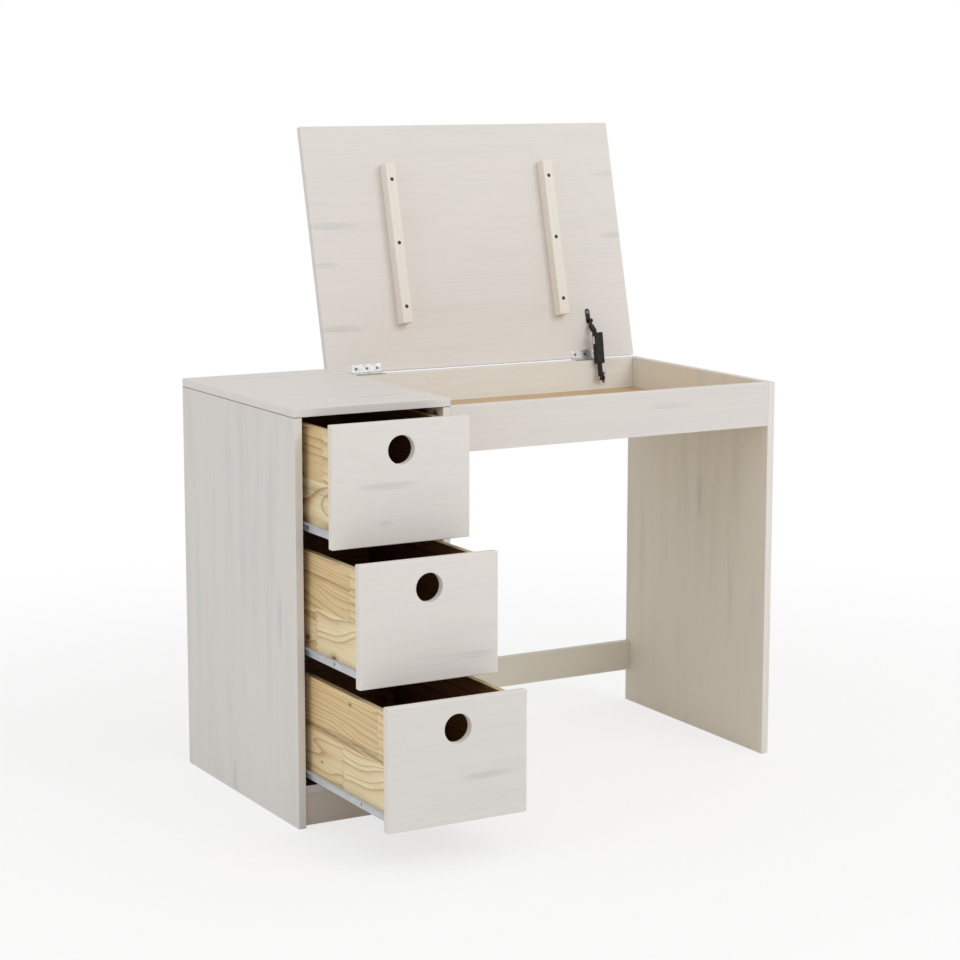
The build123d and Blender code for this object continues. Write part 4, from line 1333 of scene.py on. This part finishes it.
class DESK_OT_stay(bpy.types.Operator):
    """Build the lid stay's spring housing and curved arm, and finish its brackets and label"""

    bl_idname = "desk.stay"
    bl_label = "Lid Stay"

    def execute(self, context):
        stay = context.scene.desk_stay
        tone = tuple(context.scene.desk_metal.black)
        black = coated("stay_black", tone, 0.36, 900.0, 0.00004, 0.22)
        plate = (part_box("stay_rail_bracket")[1].y - stay.rail_plate, RAIL_PLATE_TONE)
        two_tone = coated("stay_base", tone, 0.36, 900.0, 0.00004, 0.22, plate)
        dress(["stay_rail_bracket"], two_tone)
        paper = coated("blank_label", STICKER_TONE, 0.55, 1400.0, 0.00002)

        pivot = joint_place("stay_lever_pivot")
        elbow = joint_place("stay_arm_pivot")
        run = elbow - pivot
        length = np.linalg.norm(run)
        up = run / length
        side = np.array((1.0, 0.0, 0.0))
        front = np.cross(side, up)
        half = (stay.width / 2, stay.depth / 2)

        lever = Shell()
        body_length = length - stay.fork - stay.start
        begin = pivot + up * stay.start
        rounded_bar(lever, begin, up, side, front, body_length, half, 0.0016, 7.0)
        for share in BAND_SHARES:
            band = begin + up * (body_length * share - BAND_WIDTH / 2)
            proud = (half[0] + BAND_PROUD, half[1] + BAND_PROUD)
            rounded_bar(lever, band, up, side, front, BAND_WIDTH, proud, 2 * BAND_PROUD, 7.0, 12)
        slot_half = stay.arm_thickness / 2 + stay.slot_gap
        cheek = (half[0] - slot_half) / 2
        cheek_length = stay.fork + stay.past_elbow + FORK_FOOT
        fork_start = pivot + up * (length - stay.fork - FORK_FOOT)
        for way in (-1, 1):
            centre = fork_start + side * way * (slot_half + cheek)
            rounded_bar(lever, centre, up, side, front, cheek_length, (cheek, half[1]), 0.0014, 6.0)
        cover = fork_start + front * (half[1] - COVER_DEPTH)
        cover_half = (slot_half + COVER_LAP, COVER_HALF)
        rounded_bar(lever, cover, up, side, front, cheek_length - COVER_LAP, cover_half, 0.0004, 6.0)
        neck_half = (stay.neck_width / 2, stay.neck_depth / 2)
        neck_start = pivot + up * NECK_START
        rounded_bar(lever, neck_start, up, side, front, stay.start, neck_half, 0.001, 4.0)
        lobe = stay.neck_depth / 2
        thick = stay.neck_width / 2
        turned(lever, pivot, side, eye_outline(RIVET_BORE, lobe, thick, NECK_EDGE), ring=True)
        lever.piece("stay_spring_housing", "stay_lever", ["stay_lever"], "stay_black", black)

        sticker = Shell()
        low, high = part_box("stay_label")
        middle = np.array((low + high) / 2)
        thick = (high.x - low.x) / 2
        begin = middle - up * stay.sticker_length / 2
        sticker_half = (stay.sticker_width / 2, thick)
        rounded_bar(sticker, begin, up, front, side, stay.sticker_length, sticker_half, thick / 2, 9.0)
        sticker.piece("stay_sticker", "stay_lever", ["stay_label"], "blank_label", paper)

        arm = Shell()
        pin = joint_place("lid_hinge")
        end = np.array((elbow[0], pin[1] + run[1], pin[2] + run[2]))
        handle = up * stay.arm_swell
        share = np.linspace(*ARM_SHARES, 40)[:, None]
        rest = 1 - share
        centre = (
            rest**3 * elbow
            + 3 * rest**2 * share * (elbow + handle)
            + 3 * rest * share**2 * (end - handle)
            + share**3 * end
        )
        ahead = np.gradient(centre, axis=0)
        ahead /= np.linalg.norm(ahead, axis=1)[:, None]
        aside = np.cross(ahead, side)
        turn = np.linspace(0, 2 * pi, 28, endpoint=False)
        clear = np.linalg.norm(centre - elbow, axis=1)
        total = np.linalg.norm(end - elbow)
        swell = np.clip((clear - stay.past_elbow - FORK_FOOT) / ARM_TAPER, 0, 1)
        swell = swell * np.clip((total - ARM_TAPER - clear) / ARM_TAPER, 0, 1)
        swell = swell**2 * (3 - 2 * swell)
        flat_x = np.sign(np.cos(turn)) * np.abs(np.cos(turn)) ** 0.6
        flat_y = np.sign(np.sin(turn)) * np.abs(np.sin(turn)) ** 0.6
        wide = np.outer(stay.arm_thickness / 2 + stay.arm_knuckle * swell, flat_x)
        deep = np.outer(stay.arm_width / 2 + stay.arm_knuckle * 0.3 * swell, flat_y)
        arm.grid(centre[:, None, :] + wide[..., None] * side + deep[..., None] * aside[:, None, :])
        outer = stay.eye / 2
        thick = stay.arm_thickness / 2
        for place, bore in ((elbow, RIVET_BORE), (end, LID_PIVOT_BORE)):
            turned(arm, place, side, eye_outline(bore, outer, thick, EYE_EDGE), ring=True)
        arm.piece("stay_curved_arm", "stay_arm", ["stay_arm"], "stay_black", black)

        bracket = Shell()
        lid_up = np.array(LID_UP)
        lid_out = np.array(LID_OUT)
        face = end - lid_out * stay.pivot_off_lid
        low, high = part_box("stay_lid_bracket")
        plate_half = (high.x - low.x) / 2
        middle = face + lid_up * (stay.plate_past - stay.plate_length / 2)
        size = (stay.plate_length / 2, plate_half, stay.plate)
        pill_plate(bracket, middle, (lid_up, side, lid_out), size)
        ear_half = (high.x - elbow[0] - thick - stay.slot_gap) / 2
        ear = end + side * (high.x - ear_half - elbow[0])
        ear_size = (stay.ear / 2, ear_half)
        reach = stay.pivot_off_lid - stay.plate / 2
        begin = ear - lid_out * reach
        rounded_bar(bracket, begin, lid_out, lid_up, side, reach - 0.0022, ear_size, 0.0003, 12.0)
        outer = stay.ear / 2
        turned(bracket, ear, side, eye_outline(RIVET_BORE, outer, ear_half, EAR_EDGE), ring=True)
        bracket.piece("stay_lid_plate", "lid", ["stay_lid_bracket"], "stay_black", black)
        return {"FINISHED"}


def eye_outline(bore, outer, half, edge):
    """Outline of a flat ring as (radius, height) pairs, with bevels of one width at its rim."""
    rising = [(bore, half), (outer - edge, half), (outer, half - edge)]
    return [(radius, -height) for radius, height in rising] + rising[::-1]


def pill_plate(shell, middle, ways, size):
    """A plate with round ends: the points at half its width from a line on its middle, in four
    rows up its thickness, the outer ones drawn in for a small round edge."""
    along, across, out = ways
    half_length, half_width, thickness = size
    turn = np.linspace(0, 2 * pi, 64, endpoint=False)
    rows = []
    for inset, height in ((0.0003, 0), (0, 0.0003), (0, thickness - 0.0003), (0.0003, thickness)):
        radius = half_width - inset
        straight = np.sign(np.cos(turn)) * (half_length - half_width)
        flat_x = np.cos(turn) * radius + straight
        flat_y = np.sin(turn) * radius
        rows.append(middle + np.outer(flat_x, along) + np.outer(flat_y, across) + out * height)
    shell.grid(np.stack(rows))


def roller_profile(sizes):
    """Half-open outline of a roller: bore, hub, dished face and crowned tread, both faces alike."""
    bore = sizes.axle / 2 + 0.00005
    outer = sizes.roller / 2
    half = sizes.roller_width / 2
    face = [
        (bore, half),
        (bore + 0.0016, half),
        (bore + 0.0020, half - 0.0007),
        (outer - 0.0026, half - 0.0009),
        (outer - 0.0021, half - 0.0002),
        (outer - 0.0010, half),
        (outer - 0.0004, half - 0.0003),
        (outer - 0.0001, half - 0.0012),
        (outer, 0.0),
    ]
    return face + [(radius, -height) for radius, height in face[-2::-1]]


class DESK_OT_runners(bpy.types.Operator):
    """Build the folded runners with their axles and screws, and the rollers"""

    bl_idname = "desk.runners"
    bl_label = "Drawer Runners"

    def execute(self, context):
        sizes = context.scene.desk_runner
        metal = context.scene.desk_metal
        enamel = coated("runner_enamel", tuple(metal.enamel), 0.3, 700.0, 0.00003)
        plastic = coated("roller_plastic", tuple(metal.roller), 0.4, 500.0, 0.00003)
        zinc = plated("runner_screw_zinc", RUNNER_SCREW_TONE, gloss=0.3)
        middle = sum(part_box("drawer_1_runners")[place].x for place in (0, 1)) / 2
        sheet = sizes.sheet
        wall = sizes.half_opening
        box_half = wall - sizes.drawer_gap
        channels = {-1: Shell(), 1: Shell()}
        cabinet_screws = Shell()
        for number in (1, 2, 3):
            low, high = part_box(f"drawer_{number}_runners")
            flange_top = high.z
            foot = flange_top - sizes.member_height
            axle_z = flange_top - sheet - ROLLER_GAP - sizes.roller / 2
            track = axle_z - ROLLER_GAP - sizes.roller / 2
            channel_low, channel_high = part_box("left_cabinet_runners")
            rails = Shell()
            rail_screws = Shell()
            front_rollers = Shell()
            rear_rollers = Shell()
            for side in (-1, 1):
                drawer_path = rounded_path(
                    [
                        (box_half - sizes.foot, foot + sheet / 2),
                        (box_half + sheet / 2, foot + sheet / 2),
                        (box_half + sheet / 2, flange_top - sheet / 2),
                        (box_half + sizes.flange - sheet / 2, flange_top - sheet / 2),
                    ],
                    sizes.fold,
                )
                span = (low.y, high.y)
                folded_strip(rails, sheet_outline(drawer_path, sheet), middle, side, span)
                web = wall - sheet / 2
                cabinet_path = rounded_path(
                    [
                        (wall - sizes.track + sheet / 2, track - sheet / 2),
                        (web, track - sheet / 2),
                        (web, track - 1.5 * sheet + sizes.channel_height),
                        (wall - sizes.lip + sheet / 2, track - 1.5 * sheet + sizes.channel_height),
                    ],
                    sizes.fold,
                )
                span = (channel_low.y, channel_high.y)
                outline = sheet_outline(cabinet_path, sheet)
                folded_strip(channels[side], outline, middle, side, span)

                pin = sizes.axle / 2
                reach = sizes.roller_width + 2 * AXLE_GAP
                crown = reach + AXLE_HEAD_HEIGHT
                head = [(AXLE_CENTRE, crown), (AXLE_CROWN, crown)]
                head += [(AXLE_HEAD, reach + AXLE_HEAD_HEIGHT / 2), (AXLE_HEAD, reach)]
                head += [(pin, reach), (pin, 0.0), (AXLE_CENTRE, 0.0)]
                inner = box_half + sheet
                outer = wall - sheet
                rear = (middle + side * inner, high.y - sizes.roller_inset, axle_z)
                near = (middle + side * outer, channel_low.y + sizes.roller_inset, axle_z)
                turned(rails, rear, (side, 0, 0), head, 28)
                turned(channels[side], near, (-side, 0, 0), head, 28)
                profile = roller_profile(sizes)
                half_reach = sizes.roller_width / 2 + AXLE_GAP
                place = (middle + side * (inner + half_reach), rear[1], axle_z)
                turned(rear_rollers, place, (side, 0, 0), profile, 56, ring=True)
                place = (middle + side * (outer - half_reach), near[1], axle_z)
                turned(front_rollers, place, (side, 0, 0), profile, 56, ring=True)

                for along in RAIL_SCREW_PLACES:
                    place = (middle + side * inner, low.y + along, foot + sheet + RAIL_SCREW_RISE)
                    cross_head(rail_screws, place, (side, 0, 0), *SCREW, RAIL_SCREW_LENGTH)
                for along in CHANNEL_SCREW_PLACES:
                    place = (middle + side * outer, channel_low.y + along, track + CHANNEL_SCREW_RISE)
                    cross_head(cabinet_screws, place, (-side, 0, 0), *SCREW, CHANNEL_SCREW_LENGTH)
            drawer = f"drawer_{number}"
            rails.piece(f"{drawer}_rails", drawer, [f"{drawer}_runners"], "white_enamel", enamel)
            name = f"{drawer}_rail_screws"
            rail_screws.piece(name, drawer, [f"{drawer}_runner_screws"], "zinc", zinc)
            for end, shell in (("front", front_rollers), ("rear", rear_rollers)):
                node = f"{drawer}_{end}_rollers"
                name = f"{drawer}_{end}_wheels"
                shell.piece(name, node, [node], "roller_plastic", plastic)
        for side, name in ((-1, "left"), (1, "right")):
            node = f"{name}_cabinet_runners"
            channels[side].piece(f"{name}_channels", "root", [node], "white_enamel", enamel)
        replaced = ["cabinet_runner_screws"]
        cabinet_screws.piece("channel_screws", "root", replaced, "zinc", zinc)
        return {"FINISHED"}


def lamp(name, place, size, power):
    """A square area lamp that points at the desk."""
    data = bpy.data.lights.new(name, "AREA")
    data.shape = "SQUARE"
    data.size = size
    data.energy = power
    lamp_object = bpy.data.objects.new(name, data)
    lamp_object.location = place
    aim = Vector(LAMP_TARGET) - Vector(place)
    lamp_object.rotation_euler = aim.to_track_quat("-Z", "Y").to_euler()
    bpy.context.scene.collection.objects.link(lamp_object)


def unseen(tree):
    """1 on rays that should see the white surroundings, 0 on rays that carry their light."""
    rays = put(tree, "ShaderNodeLightPath").outputs
    seen = figure(tree, "MAXIMUM", rays["Is Camera Ray"], rays["Is Glossy Ray"])
    return figure(tree, "MAXIMUM", seen, rays["Is Transmission Ray"])


class DESK_OT_stage(bpy.types.Operator):
    """Place the floor, the lights and the camera"""

    bl_idname = "desk.stage"
    bl_label = "Stage"

    def execute(self, context):
        stage = context.scene.desk_stage
        reach = stage.floor_reach
        mesh = bpy.data.meshes.new("floor")
        corners = [(-reach, -reach, 0), (reach, -reach, 0), (reach, reach, 0), (-reach, reach, 0)]
        mesh.from_pydata(corners, [], [(0, 1, 2, 3)])
        floor = bpy.data.objects.new("floor", mesh)
        context.scene.collection.objects.link(floor)
        material, tree, shader = new_material("pale_floor")
        place = object_place(tree)
        grain = noise(tree, place, 60.0, 3.0).outputs[0]
        tone = tuple(stage.floor_tone)
        soft = tuple(value * 0.985 for value in tone)
        colour = blend_colours(tree, grain, (*tone, 1), (*soft, 1))
        tree.links.new(colour, shader.inputs["Base Color"])
        shader.inputs["Roughness"].default_value = 0.75
        white = put(tree, "ShaderNodeEmission", {"Color": (1, 1, 1, 1), "Strength": 1.0})
        distance = vector(tree, "LENGTH", place)
        white_share = spread(tree, distance, 0.7, 2.4, stage.floor_white, 1.0, smooth=True)
        far = figure(tree, "MULTIPLY", white_share, unseen(tree))
        mixed = put(tree, "ShaderNodeMixShader", {0: far, 1: shader.outputs[0], 2: white.outputs[0]})
        output = next(node for node in tree.nodes if node.type == "OUTPUT_MATERIAL")
        tree.links.new(mixed.outputs[0], output.inputs["Surface"])
        mesh.materials.append(material)

        world = bpy.data.worlds.new("white_room")
        world.use_nodes = True
        tree = world.node_tree
        tree.nodes.clear()
        given = {"Color": (1.0, 0.995, 0.985, 1), "Strength": stage.sky_level}
        light = put(tree, "ShaderNodeBackground", given)
        seen = put(tree, "ShaderNodeBackground", {"Color": (1, 1, 1, 1), "Strength": 1.0})
        given = {0: unseen(tree), 1: light.outputs[0], 2: seen.outputs[0]}
        mixed = put(tree, "ShaderNodeMixShader", given)
        put(tree, "ShaderNodeOutputWorld", {"Surface": mixed.outputs[0]})
        context.scene.world = world

        lamp("main_lamp", *MAIN_LAMP, stage.key_power)
        lamp("side_lamp", *SIDE_LAMP, stage.side_power)

        data = bpy.data.cameras.new("photo_camera")
        data.lens = stage.lens
        data.sensor_width = 36.0
        data.clip_end = 200.0
        camera = bpy.data.objects.new("photo_camera", data)
        camera.rotation_mode = "YXZ"
        camera.location = stage.camera_place
        camera.rotation_euler = stage.camera_turn
        context.scene.collection.objects.link(camera)
        context.scene.camera = camera
        context.scene.view_settings.view_transform = "Standard"
        return {"FINISHED"}


OPERATORS = (
    DESK_OT_stage,
    DESK_OT_boards,
    DESK_OT_drawer_boxes,
    DESK_OT_hardware,
    DESK_OT_stay,
    DESK_OT_runners,
)
SETTINGS = {
    "desk_wood": WoodSettings,
    "desk_metal": MetalSettings,
    "desk_runner": RunnerSettings,
    "desk_stay": StaySettings,
    "desk_stage": StageSettings,
}


class DESK_PT_parts(bpy.types.Panel):
    """Lists the desk's settings and its operators"""

    bl_idname = "DESK_PT_parts"
    bl_label = "Writing Desk"
    bl_space_type = "VIEW_3D"
    bl_region_type = "UI"
    bl_category = "Desk"

    def draw(self, context):
        for name, settings in SETTINGS.items():
            column = self.layout.column(align=True)
            for label in settings.__annotations__:
                column.prop(getattr(context.scene, name), label)
        for operator in OPERATORS:
            self.layout.operator(operator.bl_idname)


CLASSES = (*SETTINGS.values(), *OPERATORS, DESK_PT_parts)


def register():
    for item in CLASSES:
        bpy.utils.register_class(item)
    for name, settings in SETTINGS.items():
        setattr(bpy.types.Scene, name, bpy.props.PointerProperty(type=settings))


def unregister():
    for name in SETTINGS:
        delattr(bpy.types.Scene, name)
    for item in reversed(CLASSES):
        bpy.utils.unregister_class(item)


def main():
    register()
    for operator in OPERATORS:
        group, name = operator.bl_idname.split(".")
        getattr(getattr(bpy.ops, group), name)()


if __name__ == "__main__":
    main()
